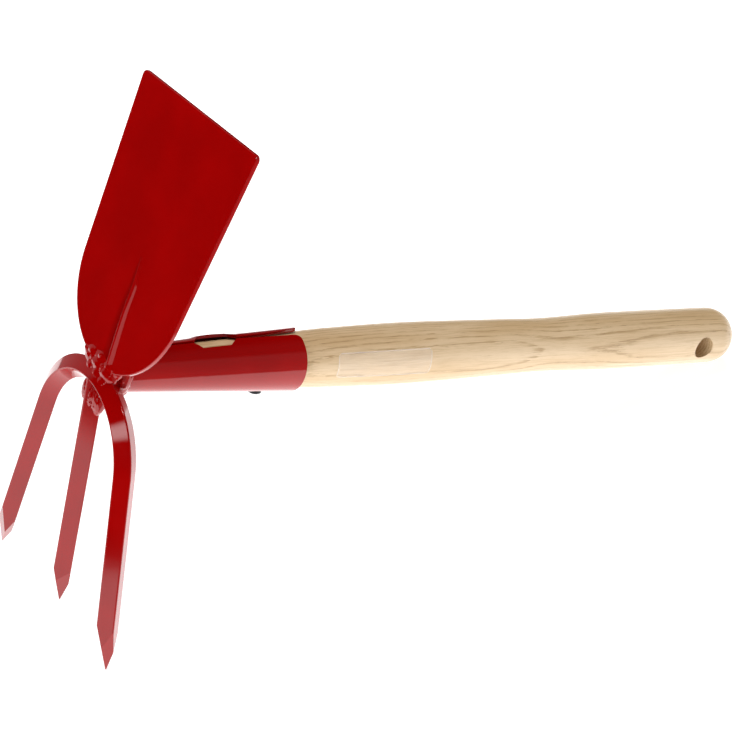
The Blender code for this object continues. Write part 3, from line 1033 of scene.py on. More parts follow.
@dataclass
class FilmPatch:
    """Rectangle of bare clear film, bent round the near side of the grip."""

    grip: TurnedHandle
    start: float = 19.0 * MM
    end: float = 75.0 * MM
    top: float = math.radians(-54.0)
    bottom: float = math.radians(-104.0)
    corner: float = 2.0 * MM
    lift: float = 0.05 * MM
    thickness: float = 0.09 * MM
    rim_width: float = 0.5 * MM
    columns: int = 90
    rows: int = 30
    crease: float = math.radians(50.0)

    def __post_init__(self) -> None:
        """Work out the film's middle and its half sizes along and up the grip's surface."""
        self.middle = 0.5 * (self.start + self.end)
        self.reach = self.grip.radius(self.middle)
        self.half_length = 0.5 * (self.end - self.start)
        self.half_height = 0.5 * (self.top - self.bottom) * self.reach

    def rounded(self, along: float, up: float) -> Point:
        """Pull a point of the rectangle in where it lies past a rounded corner.

        Args:
            along: Its place along the grip, from the film's middle.
            up: Its place up the surface.

        Returns:
            Its new place along and up.
        """
        past_along = abs(along) - (self.half_length - self.corner)
        past_up = abs(up) - (self.half_height - self.corner)
        if past_along <= 0.0 or past_up <= 0.0:
            return along, up
        pull = 1.0 - max(past_along, past_up) / math.hypot(past_along, past_up)
        along_in = abs(along) - past_along * pull
        return math.copysign(along_in, along), math.copysign(abs(up) - past_up * pull, up)

    def build(self, palette: Palette) -> None:
        """Bend the film round the grip and dress it.

        Args:
            palette: The tool's materials.
        """
        shape = bmesh.new()
        rim = shape.verts.layers.float.new("rim")
        sheets = []
        for lift in (self.lift, self.lift + self.thickness):
            sheet = []
            for u in shares(self.columns):
                row = []
                for v in shares(self.rows):
                    flat = self.half_length * (2.0 * u - 1.0), self.half_height * (2.0 * v - 1.0)
                    along, up = self.rounded(*flat)
                    x = self.middle + along
                    angle = 0.5 * (self.top + self.bottom) + up / self.reach
                    vert = shape.verts.new(about(x, self.grip.radius(x) + lift, angle))
                    edge = min(self.half_length - abs(along), self.half_height - abs(up))
                    vert[rim] = max(0.0, 1.0 - edge / self.rim_width)
                    row.append(vert)
                sheet.append(row)
            sheets.append(sheet)
        plate(shape, *sheets)
        place_piece("clear_film", to_mesh(shape, "clear_film", self.crease), palette.film)


@dataclass
class RolledSocket:
    """Sheet rolled to a taper, with its notched and partly lifted seam."""

    length: float = 92.0 * MM
    mouth_radius: float = 15.0 * MM
    taper: float = 0.052
    wall: float = 1.5 * MM
    gap_front: float = 0.45 * MM
    gap_mouth: float = 2.4 * MM
    corner: float = 3.0 * MM
    corner_steps: int = 8
    notch_half_width: float = 4.5 * MM
    notch_front: float = -56.6 * MM
    notch_front_ramp: float = 3.0 * MM
    notch_rear: float = -33.8 * MM
    notch_rear_ramp: float = 4.7 * MM
    overrun: float = 2.2 * MM
    lift: float = 1.3 * MM
    lift_rest: float = 0.35 * MM
    lift_x: float = -47.0 * MM
    lift_spread: float = 13.0 * MM
    lift_angle: float = math.radians(55.0)
    sides: int = 108
    pitch: float = 1.2 * MM
    edge: float = 0.62 * MM
    edge_steps: int = 4

    def radius(self, x: float) -> float:
        """Return the outer radius at a place along the socket."""
        return self.mouth_radius + self.taper * x

    def half_gap(self, x: float) -> float:
        """Measure the surface from the top line to a seam edge.

        Args:
            x: The place along the socket.

        Returns:
            The distance along the surface.
        """
        opening = max(0.0, 1.0 - x / self.notch_rear)
        rise = (x - self.notch_front) / self.notch_front_ramp
        fall = (self.notch_rear - x) / self.notch_rear_ramp
        gap = self.gap_front + (self.gap_mouth - self.gap_front) * opening
        gap += (self.notch_half_width - self.gap_front) * max(0.0, min(1.0, rise, fall))
        past = max(0.0, x + self.corner)
        return gap + self.corner - math.sqrt(self.corner**2 - past**2)

    def flap_share(self, beyond: float) -> float:
        """Return how much a point belongs to the far flap, 1 at its edge."""
        fade = max(0.0, 1.0 - beyond / self.lift_angle)
        return fade * fade * (3.0 - 2.0 * fade)

    def flap_lift(self, x: float) -> float:
        """Return how far the edge of the far flap stands off the wood."""
        bulge = math.exp(-(((x - self.lift_x) / self.lift_spread) ** 2))
        return self.lift_rest + (self.lift - self.lift_rest) * bulge

    def stations(self) -> list[float]:
        """Choose the places along the socket, close together where it bends.

        Returns:
            The places, from the front to the mouth.
        """
        marks = (
            -self.length,
            self.notch_front,
            self.notch_front + self.notch_front_ramp,
            self.notch_rear - self.notch_rear_ramp,
            self.notch_rear,
            -self.corner,
        )
        places = [x for start, end in zip(marks, marks[1:]) for x in steps(start, end, self.pitch)]
        turns = [QUARTER * t for t in shares(self.corner_steps)]
        return places + [-self.corner * (1.0 - math.sin(turn)) for turn in turns]

    def row(self, shape: bmesh.types.BMesh, x: float, inset: float) -> list[bmesh.types.BMVert]:
        """Add a row of points round the socket, from its near edge to its far flap's.

        Args:
            shape: The shape to add to.
            x: The place along the socket.
            inset: How far the row lies under the outer surface.

        Returns:
            The points.
        """
        radius = self.radius(x)
        edge = self.half_gap(x) / radius
        overrun = self.overrun * (1.0 + x / self.length)
        points = []
        for t in shares(self.sides):
            beyond = (TURN - 2.0 * edge) * t
            share = self.flap_share(beyond)
            reach = radius + self.flap_lift(x) * share - inset
            points.append(shape.verts.new(about(x + overrun * share, reach, edge + beyond)))
        return points

    def build(self, palette: Palette) -> None:
        """Roll the sheet, round its edges and dress it.

        Args:
            palette: The tool's materials.
        """
        shape = bmesh.new()
        rows = [[self.row(shape, x, inset) for inset in (0.0, self.wall)] for x in self.stations()]
        plate(shape, *zip(*rows))
        obj = holder(to_mesh(shape, "rolled_sheet"))
        round_edges(obj, self.edge, self.edge_steps)
        mesh = settle(obj, "rolled_socket")
        place_piece("rolled_socket", mesh, palette.enamel, Node.SOCKET)


@dataclass
class HoeBlade:
    """Flat blade with a round lower end, leaning back towards the grip."""

    top_half_width: float = 48.8 * MM
    thickness: float = 2.0 * MM
    end_radius: float = 41.8 * MM
    end_centre: float = 81.5 * MM
    corner: float = 2.6 * MM
    lean: float = math.radians(10.2)
    top_x: float = -82.6 * MM
    top_z: float = 124.7 * MM
    edge: float = 0.42 * MM
    edge_steps: int = 4
    end_steps: int = 72
    corner_steps: int = 10

    def point(self, down: float, across: float, proud: float = 0.0) -> Vector:
        """Find a point of the blade.

        Args:
            down: How far it lies down from the top edge.
            across: How far it lies to the side.
            proud: How far it stands off the front.

        Returns:
            The point, in the tool's frame.
        """
        x = self.top_x - down * math.sin(self.lean) - proud * math.cos(self.lean)
        z = self.top_z - down * math.cos(self.lean) + proud * math.sin(self.lean)
        return Vector((x, across, z))

    def outline(self) -> list[Point]:
        """Draw one side of the outline, from the top corner to the lower middle.

        Returns:
            The (down, across) points.
        """
        reach = math.hypot(self.end_centre, self.top_half_width)
        taper = math.acos(self.end_radius / reach) - math.atan2(self.end_centre, self.top_half_width)
        swing = QUARTER + taper
        centre = self.top_half_width - self.corner * math.tan(0.5 * swing)
        points = []
        for t in shares(self.corner_steps):
            turn = swing * t
            points.append((self.corner * (1.0 - math.cos(turn)), centre + self.corner * math.sin(turn)))
        for t in shares(self.end_steps):
            turn = taper + (QUARTER - taper) * t
            down = self.end_centre + self.end_radius * math.sin(turn)
            points.append((down, self.end_radius * math.cos(turn)))
        return points

    def build(self, palette: Palette) -> None:
        """Cut the blade from sheet, round its edges and dress it.

        Args:
            palette: The tool's materials.
        """
        half = self.outline()
        outline = half + [(down, -across) for down, across in reversed(half[:-1])]
        rings = [[self.point(*place, proud) for place in outline] for proud in (0.0, -self.thickness)]
        obj = holder(to_mesh(skin(rings), "blade_plate"))
        round_edges(obj, self.edge, self.edge_steps)
        mesh = settle(obj, "enamelled_blade")
        place_piece("enamelled_blade", mesh, palette.enamel, Node.BLADE)


@dataclass
class BladeRib:
    """Low bar welded up the blade, drawn out to a point, with a low enamel fillet beside it that carries
    painted shade.

    Each station has its distance down the blade, its place across, its half width
    and its height. Slope, rounding and pool are shares of the height there.
    """

    blade: HoeBlade
    stations: tuple[tuple[float, ...], ...] = metres(
        (69.6, -0.9, 0.25, 0.15),
        (76.0, -2.5, 0.85, 0.45),
        (82.0, -3.9, 1.6, 0.5),
        (96.0, -4.8, 1.7, 0.75),
        (119.0, -8.2, 1.8, 1.05),
    )
    slope: float = 2.15
    shoulder: float = 0.15
    rounding: float = 0.6
    shaded_pool: float = 8.0
    pool_height: float = 0.06
    # How the painted shade beside the rib grows with the bar's height and fades across the fillet.
    shade_full: float = 0.5 * MM
    shade_fade: float = 1.2
    sink: float = 0.4 * MM
    dip: float = 0.004 * MM
    pitch: float = 0.8 * MM
    arc_steps: int = 6
    pool_steps: int = 20
    crease: float = math.radians(50.0)

    def section(self, half_width: float, height: float) -> list[Point]:
        """Draw the section from its sloped side to the end of its pool.

        Args:
            half_width: Half the bar's width.
            height: How far the bar stands off the blade.

        Returns:
            The (across, proud) points, about the bar's middle.
        """
        slope, rounding, shaded_pool = (share * height for share in (self.slope, self.rounding, self.shaded_pool))
        points = [(-half_width, -self.sink), (-half_width, 0.0)]
        for t in shares(self.arc_steps):
            across = slope * (1.0 + self.shoulder * (2.0 * t - 1.0)) - half_width
            points.append((across, height * (1.0 - self.shoulder * (1.0 - t) ** 2)))
        for t in shares(self.arc_steps):
            across = half_width - rounding * (1.0 - math.sin(QUARTER * t))
            points.append((across, height - rounding * (1.0 - math.cos(QUARTER * t))))
        for t in shares(self.pool_steps):
            proud = self.pool_height * height * (1.0 - t) ** 2 - self.dip * t
            points.append((half_width + shaded_pool * t, proud))
        return points + [(half_width + shaded_pool, -self.sink)]

    def shade_share(self, index: int) -> float:
        """Return how deep the painted shade is at a point of the section, from 0 to 1."""
        step = index - (2 * (self.arc_steps + 1) + 1)
        return (1.0 - step / self.pool_steps) ** self.shade_fade if 0 <= step <= self.pool_steps else 0.0

    def build(self, palette: Palette) -> None:
        """Loft the rib, mark the painted shade beside it and dress it.

        Args:
            palette: The tool's materials.
        """
        curves = [[(station[0], station[k]) for station in self.stations] for k in (1, 2, 3)]
        first, last = self.stations[0][0], self.stations[-1][0]
        rings = []
        for down in steps(first, last, self.pitch) + [last]:
            middle, half_width, height = (smooth_between(curve, down) for curve in curves)
            section = self.section(half_width, height)
            rings.append([self.blade.point(down, middle + a, p) for a, p in section])
        mesh = weigh_normals(to_mesh(skin(rings), "enamelled_rib", self.crease))
        # Painted shade beside the rib, standing in for its shadow: fullest by the bar, fading across the
        # fillet.
        shade_depths = []
        for t in shares(len(rings) - 1):
            height = smooth_between(curves[2], first + (last - first) * t)
            full = min(1.0, height / self.shade_full)
            shade_depths += [self.shade_share(i) * full for i in range(len(rings[0]))]
        mesh.attributes.new("shaded_pool", "FLOAT", "POINT").data.foreach_set("value", shade_depths)
        place_piece("enamelled_rib", mesh, palette.enamel, Node.RIB)


# The facets of a ground point, as (azimuth, slope) in degrees
NEAR_POINT = ((-106.0, 15.5), (155.0, 15.5), (75.0, 15.5), (-20.0, 11.5))
FAR_POINT = ((-72.0, 15.5), (178.0, 15.5), (100.0, 15.5), (20.0, 11.5))


@dataclass
class TineBars:
    """Square bar on its edge: the bent bar of the outer tines and the middle tine."""

    side: float = 8.25 * MM
    edge: float = 0.7 * MM
    edge_steps: int = 8
    near_roll: float = math.radians(1.5)
    far_roll: float = math.radians(11.8)
    centre_roll: float = math.radians(15.5)
    crown_x: float = -103.0 * MM
    crown_z: float = -2.3 * MM
    crown_radius: float = 38.1 * MM
    crown_steps: int = 60
    splay: float = math.radians(10.7)
    leg: float = 91.9 * MM
    leg_steps: int = 12
    lean: float = math.tan(math.radians(0.6))
    centre_x: float = -103.4 * MM
    centre_top: float = -8.9 * MM
    centre_tip: float = -122.4 * MM
    centre_lean: float = math.tan(math.radians(2.7))
    centre_pitch: float = 9.0 * MM
    offset: float = 1.5 * MM
    flat: float = 1.0 * MM
    stock: float = 8.0 * MM
    weld_gap: float = 0.01 * MM
    crease: float = math.radians(13.0)

    @property
    def swing(self) -> float:
        """Return how far the outer bar turns from the crown to a leg."""
        return QUARTER - self.splay

    def section(self, roll: float) -> list[Point]:
        """Draw the rounded square, rolled about its path.

        Args:
            roll: The angle from standing on its edge.

        Returns:
            The (along X, outward) points.
        """
        corner = (0.5 * self.side - self.edge) * math.sqrt(2.0)
        points = []
        for quarter in range(4):
            middle = roll + QUARTER * quarter
            for t in shares(self.edge_steps):
                turn = middle + QUARTER * (t - 0.5)
                along = corner * math.cos(middle) + self.edge * math.cos(turn)
                points.append((along, corner * math.sin(middle) + self.edge * math.sin(turn)))
        return points

    def bar_point(self, across: float, up: float) -> Vector:
        """Return a point in the leaning plane in which the outer bar is bent."""
        return Vector((self.crown_x + (self.crown_z - up) * self.lean, across, up))

    def bent(self, turn: float, reach: float) -> Point:
        """Follow the outer bar's bent line.

        Args:
            turn: How far it has turned from the crown.
            reach: How far it has then gone down the leg.

        Returns:
            Its (across, up) there.
        """
        across = self.crown_radius * math.sin(turn) + reach * math.sin(self.splay)
        fall = self.crown_radius * (1.0 - math.cos(turn)) + reach * math.cos(self.splay)
        return across, self.crown_z - fall

    def outer_leg(self, sign: int) -> bmesh.types.BMesh:
        """Skin half of the bent bar, from the crown to past the tip.

        Args:
            sign: -1 for the near half and 1 for the far one.

        Returns:
            The new shape, open at the crown.
        """
        path = [(self.swing * t, 0.0) for t in shares(self.crown_steps)]
        path += [(self.swing, (self.leg + self.stock) * t) for t in shares(self.leg_steps)[1:]]
        rings = []
        for turn, reach in path:
            across, up = self.bent(turn, reach)
            far_share = 0.5 * (1.0 + sign * turn / self.swing)
            roll = self.near_roll + (self.far_roll - self.near_roll) * far_share
            ring = []
            for along, outward in self.section(roll):
                place = self.bar_point(across + outward * math.sin(turn), up + outward * math.cos(turn))
                ring.append(Vector((place.x + along, sign * place.y, place.z)))
            rings.append(ring)
        return skin(rings, cap_start=False)

    def grind(self, shape: bmesh.types.BMesh, tip: Vector, axis: Vector, facets: Sequence[Point]) -> None:
        """Grind a bar's lower end to a point, with a small flat where it meets the ground.

        Args:
            shape: The bar.
            tip: Its tip.
            axis: The way up the bar.
            facets: The (azimuth, slope) of each facet.
        """
        across = axis.cross(Vector((1.0, 0.0, 0.0))).normalized()
        forward = across.cross(axis)
        for azimuth, slope in facets:
            turn, tilt = math.radians(azimuth), math.radians(slope)
            level = math.cos(turn) * forward + math.sin(turn) * across
            slice_off(shape, tip - self.flat * axis, math.cos(tilt) * level - math.sin(tilt) * axis)
        ground = Vector((math.sin(STANCE.lean), 0.0, -math.cos(STANCE.lean)))
        slice_off(shape, tip, ground)

    def outer_bar(self) -> bmesh.types.BMesh:
        """Bend the outer bar and grind both its ends.

        Returns:
            The new shape.
        """
        halves = []
        for sign, facets in ((-1, NEAR_POINT), (1, FAR_POINT)):
            half = self.outer_leg(sign)
            tip = self.bar_point(*self.bent(self.swing, self.leg))
            tip = Vector((tip.x + self.offset, sign * tip.y, tip.z))
            rise = math.cos(self.splay)
            axis = Vector((-self.lean * rise, -sign * math.sin(self.splay), rise)).normalized()
            self.grind(half, tip, axis, facets)
            halves.append(half)
        near, far = halves
        join(near, far)
        bmesh.ops.remove_doubles(near, verts=near.verts[:], dist=self.weld_gap)
        return near

    def middle_tine(self) -> bmesh.types.BMesh:
        """Cut the middle tine from straight bar and grind its end.

        Returns:
            The new shape.
        """
        end = self.centre_tip - self.stock
        rings = []
        for z in steps(self.crown_z, end, self.centre_pitch) + [end]:
            x = self.centre_x + (self.centre_top - z) * self.centre_lean
            rings.append([Vector((x + a, o, z)) for a, o in self.section(self.centre_roll)])
        shape = skin(rings)
        x = self.centre_x + (self.centre_top - self.centre_tip) * self.centre_lean + self.offset
        axis = Vector((-self.centre_lean, 0.0, 1.0)).normalized()
        self.grind(shape, Vector((x, 0.0, self.centre_tip)), axis, NEAR_POINT)
        return shape

    def build(self, palette: Palette) -> None:
        """Make both bars and dress them.

        Args:
            palette: The tool's materials.
        """
        bars = (
            (self.outer_bar(), "bent_tine_bar", Node.OUTER_BAR),
            (self.middle_tine(), "middle_tine", Node.CENTRE_TINE),
        )
        for shape, name, node in bars:
            mesh = weigh_normals(to_mesh(shape, name, self.crease))
            place_piece(name, mesh, palette.enamel, node)


@dataclass(frozen=True)
class Bead:
    """One weld, in millimetres: its runs of metal, and the drops scattered over them.

    Each run has its centre and its radii. A drop lies in a way from its run's centre
    that the weld keeps, and stands proud by a share of its size.
    """

    name: str
    node: Node
    runs: tuple[tuple[Triple, Triple], ...]
    drops: int
    sizes: Point
    proud: float
    keep: Callable[[Vector], bool]
    seed: int


BEADS = (
    Bead(
        "front_bead",
        Node.FRONT_WELD,
        (
            ((-101.6, 11.4, 4.6), (3.0, 4.0, 3.6)),
            ((-101.2, 7.0, 5.4), (3.7, 6.6, 4.6)),
            ((-101.0, 0.0, 5.6), (3.9, 8.4, 4.9)),
            ((-101.2, -8.0, 5.0), (3.8, 6.6, 4.8)),
            ((-102.6, 7.4, 2.8), (2.8, 6.4, 3.8)),
            ((-102.8, -0.6, 2.8), (3.1, 8.4, 4.0)),
            ((-102.8, -7.6, 2.0), (3.2, 6.4, 4.0)),
            ((-101.8, 4.2, -0.2), (4.6, 6.0, 4.6)),
            ((-102.4, -2.4, -1.0), (4.6, 6.4, 4.6)),
            ((-102.8, -7.8, -2.4), (4.6, 5.4, 4.6)),
        ),
        drops=22,
        sizes=(1.0, 1.6),
        proud=0.2,
        keep=lambda way: way.x < -0.4 and way.z > -0.3,
        seed=4,
    ),
    Bead(
        "tine_bead",
        Node.TINE_WELD,
        (
            ((-103.2, -1.0, -8.0), (4.4, 5.4, 4.6)),
            ((-106.2, 2.4, -9.8), (1.5, 2.6, 5.6)),
            ((-107.2, -0.8, -10.4), (1.2, 1.3, 5.2)),
            ((-106.4, -3.4, -10.6), (1.4, 1.5, 5.6)),
            ((-105.0, -6.0, -11.4), (1.7, 1.8, 5.8)),
            ((-103.4, -7.6, -12.4), (2.8, 2.0, 5.4)),
            ((-106.4, -1.4, -13.6), (1.3, 4.6, 1.1)),
            ((-103.2, -6.4, -15.6), (2.4, 1.7, 3.8)),
        ),
        drops=14,
        sizes=(0.6, 1.1),
        proud=0.3,
        keep=lambda way: way.z < 0.3 and way.x < 0.3,
        seed=8,
    ),
    Bead(
        "socket_bead",
        Node.SOCKET_WELD,
        (((-95.0, 0.0, -0.4), (6.6, 12.2, 12.0)),),
        drops=60,
        sizes=(1.0, 1.9),
        proud=0.28,
        keep=lambda way: abs(way.x) < 0.5,
        seed=3,
    ),
)


@dataclass
class WeldBeads:
    """The welds of the head: runs and drops that froze into one lumpy surface."""

    voxel: float = 0.26 * MM
    smoothing: int = 16
    ripple: float = 0.05 * MM
    ripple_scale: float = 420.0
    detail: int = 3
    stretch: Point = (0.8, 1.2)
    drops: BeadDrops = field(default_factory=BeadDrops)
    rippler: FrozenRipple = field(default_factory=FrozenRipple)

    def points(self, bead: Bead) -> bpy.types.Object:
        """Scatter a weld's drops over its runs.

        Args:
            bead: The weld.

        Returns:
            An object that carries the points, each with the radii of its ball.
        """
        chance = random.Random(bead.seed)
        places = [Vector(centre) for centre, _ in bead.runs]
        sizes = [radii for _, radii in bead.runs]
        while len(places) < len(bead.runs) + bead.drops:
            centre, radii = chance.choice(bead.runs)
            way = Vector([chance.gauss(0.0, 1.0) for _ in range(3)]).normalized()
            if not bead.keep(way):
                continue
            size = chance.uniform(*bead.sizes)
            reach = [r - (1.0 - bead.proud) * size for r in radii]
            places.append(Vector(centre) + Vector(w * r for w, r in zip(way, reach)))
            sizes.append(tuple(size * chance.uniform(*self.stretch) for _ in range(3)))
        mesh = bpy.data.meshes.new(bead.name)
        mesh.from_pydata([place * MM for place in places], [], [])
        radii = mesh.attributes.new("radii", "FLOAT_VECTOR", "POINT")
        radii.data.foreach_set("vector", [r * MM for size in sizes for r in size])
        return holder(mesh)

    def build(self, palette: Palette) -> None:
        """Melt the drops of each weld together and dress it.

        Args:
            palette: The tool's materials.
        """
        weld = palette.weld
        for bead in BEADS:
            obj = self.points(bead)
            self.drops.attach(obj, {"Detail": self.detail, "Material": weld})
            modify(obj, "melt", "REMESH", mode="VOXEL", voxel_size=self.voxel, use_smooth_shade=True)
            modify(obj, "calm", "SMOOTH", iterations=self.smoothing)
            values = {"Height": self.ripple, "Scale": self.ripple_scale, "Material": weld}
            self.rippler.attach(obj, values)
            place_piece(bead.name, settle(obj, bead.name), weld, bead.node)


@dataclass
class PanScrew:
    """Pan-head screw with a cross recess, through the socket's underside.

    Each end of the recess has its height over the head's top and its share of the
    recess's length. Its width changes less.
    """

    socket: RolledSocket
    x: float = -16.0 * MM
    head_radius: float = 3.8 * MM
    head_height: float = 2.4 * MM
    shank: float = 1.6 * MM
    length: float = 11.0 * MM
    point: float = 3.0 * MM
    point_share: float = 0.1
    seat: float = 0.3 * MM
    rim_share: float = 0.3
    dome_steps: int = 16
    sides: int = 64
    slot_half_width: float = 0.42 * MM
    slot_half_length: float = 1.9 * MM
    slot_ends: tuple[Point, ...] = ((0.6 * MM, 1.15), (-1.5 * MM, 0.45))
    slot_taper: float = 0.3
    crease: float = math.radians(35.0)

    def seated(self) -> Matrix:
        """Return the move from a screw along X, its seat at zero, to its place."""
        depth = self.socket.radius(self.x) + self.seat
        return Matrix.Translation((self.x, 0.0, -depth)) @ Matrix.Rotation(QUARTER, 4, "Y")

    def recess(self) -> bpy.types.Object:
        """Make the cutter of the cross recess, which narrows as it goes in.

        Returns:
            The cutter.
        """
        shape = bmesh.new()
        for turn in (0.0, QUARTER):
            rings = []
            for height, share in self.slot_ends:
                x = self.head_height + height
                length = self.slot_half_length * share
                width = self.slot_half_width * (1.0 - self.slot_taper * (1.0 - share))
                corners = ((-length, -width), (length, -width), (length, width), (-length, width))
                rings.append([Vector((x, y, z)) for y, z in corners])
            bar = skin(rings)
            bar.transform(Matrix.Rotation(turn, 4, "X"))
            join(shape, bar)
        return holder(to_mesh(shape, "cross_recess"))

    def build(self, palette: Palette) -> None:
        """Turn the screw, cut its recess and dress it.

        Args:
            palette: The tool's materials.
        """
        profile = [(-self.length, self.point_share * self.shank), (self.point - self.length, self.shank)]
        profile += [(0.0, self.shank), (0.0, self.head_radius)]
        for t in shares(self.dome_steps)[:-1]:
            height = self.rim_share + (1.0 - self.rim_share) * math.sin(QUARTER * t)
            profile.append((self.head_height * height, self.head_radius * math.cos(QUARTER * t)))
        obj = holder(to_mesh(turned(profile, self.sides), "screw_blank"))
        recess = self.recess()
        cut = {"operation": "DIFFERENCE", "solver": "EXACT", "use_self": True, "object": recess}
        modify(obj, "cross_recess", "BOOLEAN", **cut)
        mesh = settle(obj, "pan_screw", recess)
        mesh.set_sharp_from_angle(angle=self.crease)
        mesh.transform(self.seated())
        place_piece("pan_screw", mesh, palette.screw, Node.SCREW)


# Studio


@dataclass(frozen=True)
class Lamp:
    """A soft square lamp, placed by its direction from the tool's head."""

    name: str
    azimuth: float
    elevation: float
    distance: float
    size: float
    power: float

    def build(self, target: Vector) -> None:
        """Hang the lamp, which no gloss mirrors.

        Args:
            target: The point that it faces.
        """
        light = bpy.data.lights.new(self.name, "AREA")
        light.shape = "SQUARE"
        light.size = self.size
        light.energy = self.power
        obj = bpy.data.objects.new(self.name, light)
        way = direction(self.azimuth, self.elevation)
        obj.location = target + way * self.distance
        obj.rotation_mode = "QUATERNION"
        obj.rotation_quaternion = (-way).to_track_quat("-Z", "Y")
        obj.visible_glossy = False
        obj.visible_camera = False
        bpy.context.scene.collection.objects.link(obj)


@dataclass(frozen=True)
class Spot:
    """A bright round patch of the room, from its soft rim in, by angles in degrees."""

    azimuth: float
    elevation: float
    rim: float
    core: float
    glow: float

    def light(self, x: Value, y: Value, z: Value) -> Value:
        """Light a direction of the room.

        Args:
            x: The direction's first part.
            y: Its second.
            z: Its third.

        Returns:
            The patch's glow there.
        """
        way = direction(self.azimuth, self.elevation)
        near = x * way.x + y * way.y + z * way.z
        rim, core = (math.cos(math.radians(angle)) for angle in (self.rim, self.core))
        return near.ease(rim, core) * self.glow


@dataclass
class Studio:
    """White glowing table, dim room, soft lamps and the camera.

    To the eye, table and room are white. A gloss sees a dim room with a grey front,
    a grey rear and three bright patches, and a table that glows in one area. Each
    pair of numbers is where an area's edge starts and ends.
    """

    target: Vector = field(default_factory=lambda: Vector((-0.18, -0.01, 0.10)))
    ambient: float = 0.25
    dim: float = 0.004
    room_glow: float = 0.26
    room_azimuth: float = -55.0
    room_front: Point = (0.05, 0.55)
    room_top: Point = (0.48, 0.60)
    room_top_loss: float = 0.75
    rear_glow: float = 0.32
    rear_azimuth: float = 90.0
    rear_reach: Point = (0.80, 0.87)
    spots: tuple[Spot, ...] = (
        Spot(-165.0, 36.0, 9.0, 0.5, 5.0),
        Spot(177.0, 8.0, 12.0, 6.0, 1.0),
        Spot(-160.0, 62.0, 5.0, 3.0, 70.0),
    )
    table_half: float = 12.0
    table_drop: float = 0.2 * MM
    table_paint: Triple = (0.8, 0.8, 0.8)
    table_lift: float = 0.62
    table_glow: float = 1.9
    table_near: Point = (0.195, 0.215)
    table_left: Point = (-0.86, -0.66)
    table_rear: Point = (0.53, 0.57)
    wing_slant: float = 0.53
    wing: Point = (-0.05, -0.01)
    beyond: Point = (0.35, 0.55)
    before: Point = (-0.6, -0.4)
    front: Point = (-0.08, 0.0)
    front_glow: float = 0.6
    lamps: tuple[Lamp, ...] = (
        Lamp("key_lamp", -165.0, 24.0, 0.9, 0.5, 3.6),
        Lamp("top_lamp", 60.0, 62.0, 1.5, 1.0, 19.5),
        Lamp("fill_lamp", -30.0, 12.0, 1.5, 1.0, 4.0),
        Lamp("near_lamp", -105.0, 4.0, 0.7, 0.4, 0.6),
    )
    eye: Triple = (-0.49932, -0.67921, 0.62147)
    azimuth: float = -34.51
    elevation: float = 33.72
    roll: float = 1.889
    sensor: float = 36.0
    lens: float = 98.84

    def camera(self) -> None:
        """Place the camera by the photograph's viewing angle."""
        data = bpy.data.cameras.new("camera")
        data.sensor_width = self.sensor
        data.lens = self.lens
        obj = bpy.data.objects.new("camera", data)
        ahead = -direction(self.azimuth - 90.0, self.elevation)
        aim = ahead.to_track_quat("-Z", "Y").to_matrix().to_4x4()
        roll = Matrix.Rotation(math.radians(self.roll), 4, "Z")
        obj.matrix_world = Matrix.Translation(self.eye) @ aim @ roll
        bpy.context.scene.collection.objects.link(obj)
        bpy.context.scene.camera = obj

    def room(self) -> None:
        """Make the world: white to the eye, and a dim room to a gloss."""
        world = bpy.data.worlds.new("room")
        bpy.context.scene.world = world
        world.use_nodes = True
        tree = Tree(world.node_tree)
        x, y, z = tree.parts("ShaderNodeTexCoord", "Generated")
        turn, rear_turn = math.radians(self.room_azimuth), math.radians(self.rear_azimuth)
        front = (x * math.cos(turn) + y * math.sin(turn)).ease(*self.room_front)
        low = 1.0 - z.ease(*self.room_top) * self.room_top_loss
        rear = (x * math.cos(rear_turn) + y * math.sin(rear_turn)) / (x**2.0 + y**2.0) ** 0.5
        mirrored = front * low * (self.room_glow - self.dim) + self.dim
        mirrored = mirrored + rear.ease(*self.rear_reach) * self.rear_glow
        for spot in self.spots:
            mirrored = mirrored + spot.light(x, y, z)
        ray = tree.add("ShaderNodeLightPath")
        seen, gloss = tree.value(ray, "Is Camera Ray"), tree.value(ray, "Is Glossy Ray")
        unseen = gloss * mirrored + (1.0 - gloss) * self.ambient
        shader = world.node_tree.nodes["Background"]
        tree.feed(shader.inputs["Color"], WHITE)
        tree.feed(shader.inputs["Strength"], seen + (1.0 - seen) * unseen)

    def table_light(self, tree: Tree, gloss: Value) -> Value:
        """Work out how the table glows onto the tool.

        Args:
            tree: The table's tree.
            gloss: 1 for a ray that a gloss sends out.

        Returns:
            The strength of its light.
        """
        x, y, _ = tree.parts("ShaderNodeTexCoord", "Object")
        turn = math.radians(self.azimuth)
        plain = 1.0 - (x * math.sin(turn) - y * math.cos(turn)).ease(*self.table_near)
        wing = (y - x * self.wing_slant).ease(*self.wing)
        joined = plain + wing - plain * wing
        rear = 1.0 - y.ease(*self.table_rear)
        sideways = ((x - self.target.x) / y) ** 2.0
        beyond = (1.0 - rear) * (1.0 - sideways.ease(*self.beyond)) * (self.rear_glow / self.table_glow)
        before = (1.0 - joined) * x.ease(*self.before) * (self.room_glow / self.table_glow)
        lit = joined * x.ease(*self.table_left) * rear
        share = 1.0 - gloss * (1.0 - lit - beyond - before)
        front = (1.0 - gloss) * (1.0 - y.ease(*self.front)) * self.front_glow
        return share * (self.table_glow - self.dim) + self.dim + front

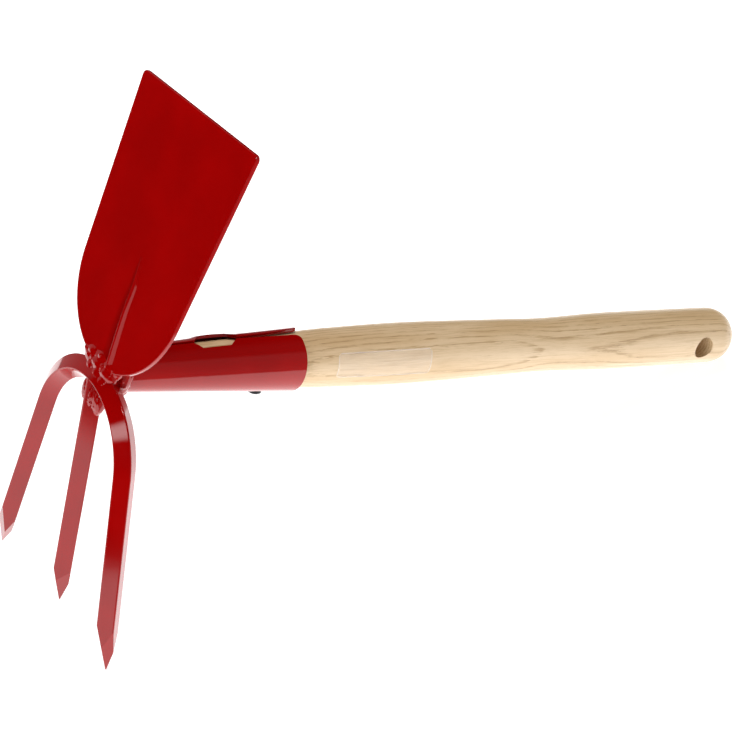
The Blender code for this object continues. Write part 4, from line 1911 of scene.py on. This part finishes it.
    def table_paper(self) -> bpy.types.Material:
        """Make the table's material, which is white to the eye but for a soft shadow.

        Returns:
            The new material, clear from below.
        """
        material = bpy.data.materials.new("table")
        material.use_nodes = True
        tree, nodes = Tree(material.node_tree), material.node_tree.nodes
        nodes.remove(nodes["Principled BSDF"])
        ray = tree.add("ShaderNodeLightPath")
        glow = self.table_light(tree, tree.value(ray, "Is Glossy Ray"))
        light = tree.add("ShaderNodeEmission", sockets={"Color": WHITE, "Strength": glow})
        paint = tree.add("ShaderNodeBsdfDiffuse", sockets={"Color": self.table_paint})
        lift = tree.add("ShaderNodeEmission", sockets={"Color": WHITE, "Strength": self.table_lift})
        paper = tree.add("ShaderNodeAddShader", sockets={0: paint, 1: lift})
        seen = tree.value(ray, "Is Camera Ray")
        above = tree.add("ShaderNodeMixShader", sockets={0: seen, 1: light, 2: paper})
        back = tree.exit(tree.add("ShaderNodeNewGeometry"), "Backfacing")
        clear = tree.add("ShaderNodeBsdfTransparent")
        both = tree.add("ShaderNodeMixShader", sockets={0: back, 1: above, 2: clear})
        tree.feed(nodes["Material Output"].inputs["Surface"], both)
        return material

    def table(self) -> None:
        """Lay the table just under the tool."""
        mesh = bpy.data.meshes.new("table")
        half = self.table_half
        corners = [(x * half, y * half, 0.0) for x, y in ((-1, -1), (1, -1), (1, 1), (-1, 1))]
        mesh.from_pydata(corners, [], [(0, 1, 2, 3)])
        mesh.materials.append(self.table_paper())
        floor = holder(mesh)
        floor.location.z = -self.table_drop

    def build(self) -> None:
        """Set up the whole studio."""
        self.camera()
        self.room()
        self.table()
        for lamp in self.lamps:
            lamp.build(self.target)
        bpy.context.scene.view_settings.view_transform = "Standard"


def main() -> None:
    """Build the studio, then the tool piece by piece."""
    logging.basicConfig(level=logging.INFO, format="%(name)s: %(message)s")
    Studio().build()
    palette = Palette.make()
    handle, socket, blade = TurnedHandle(), RolledSocket(), HoeBlade()
    pieces = (
        handle,
        FilmPatch(handle),
        socket,
        blade,
        BladeRib(blade),
        TineBars(),
        WeldBeads(),
        PanScrew(socket),
    )
    for piece in pieces:
        piece.build(palette)


if __name__ == "__main__":
    main()
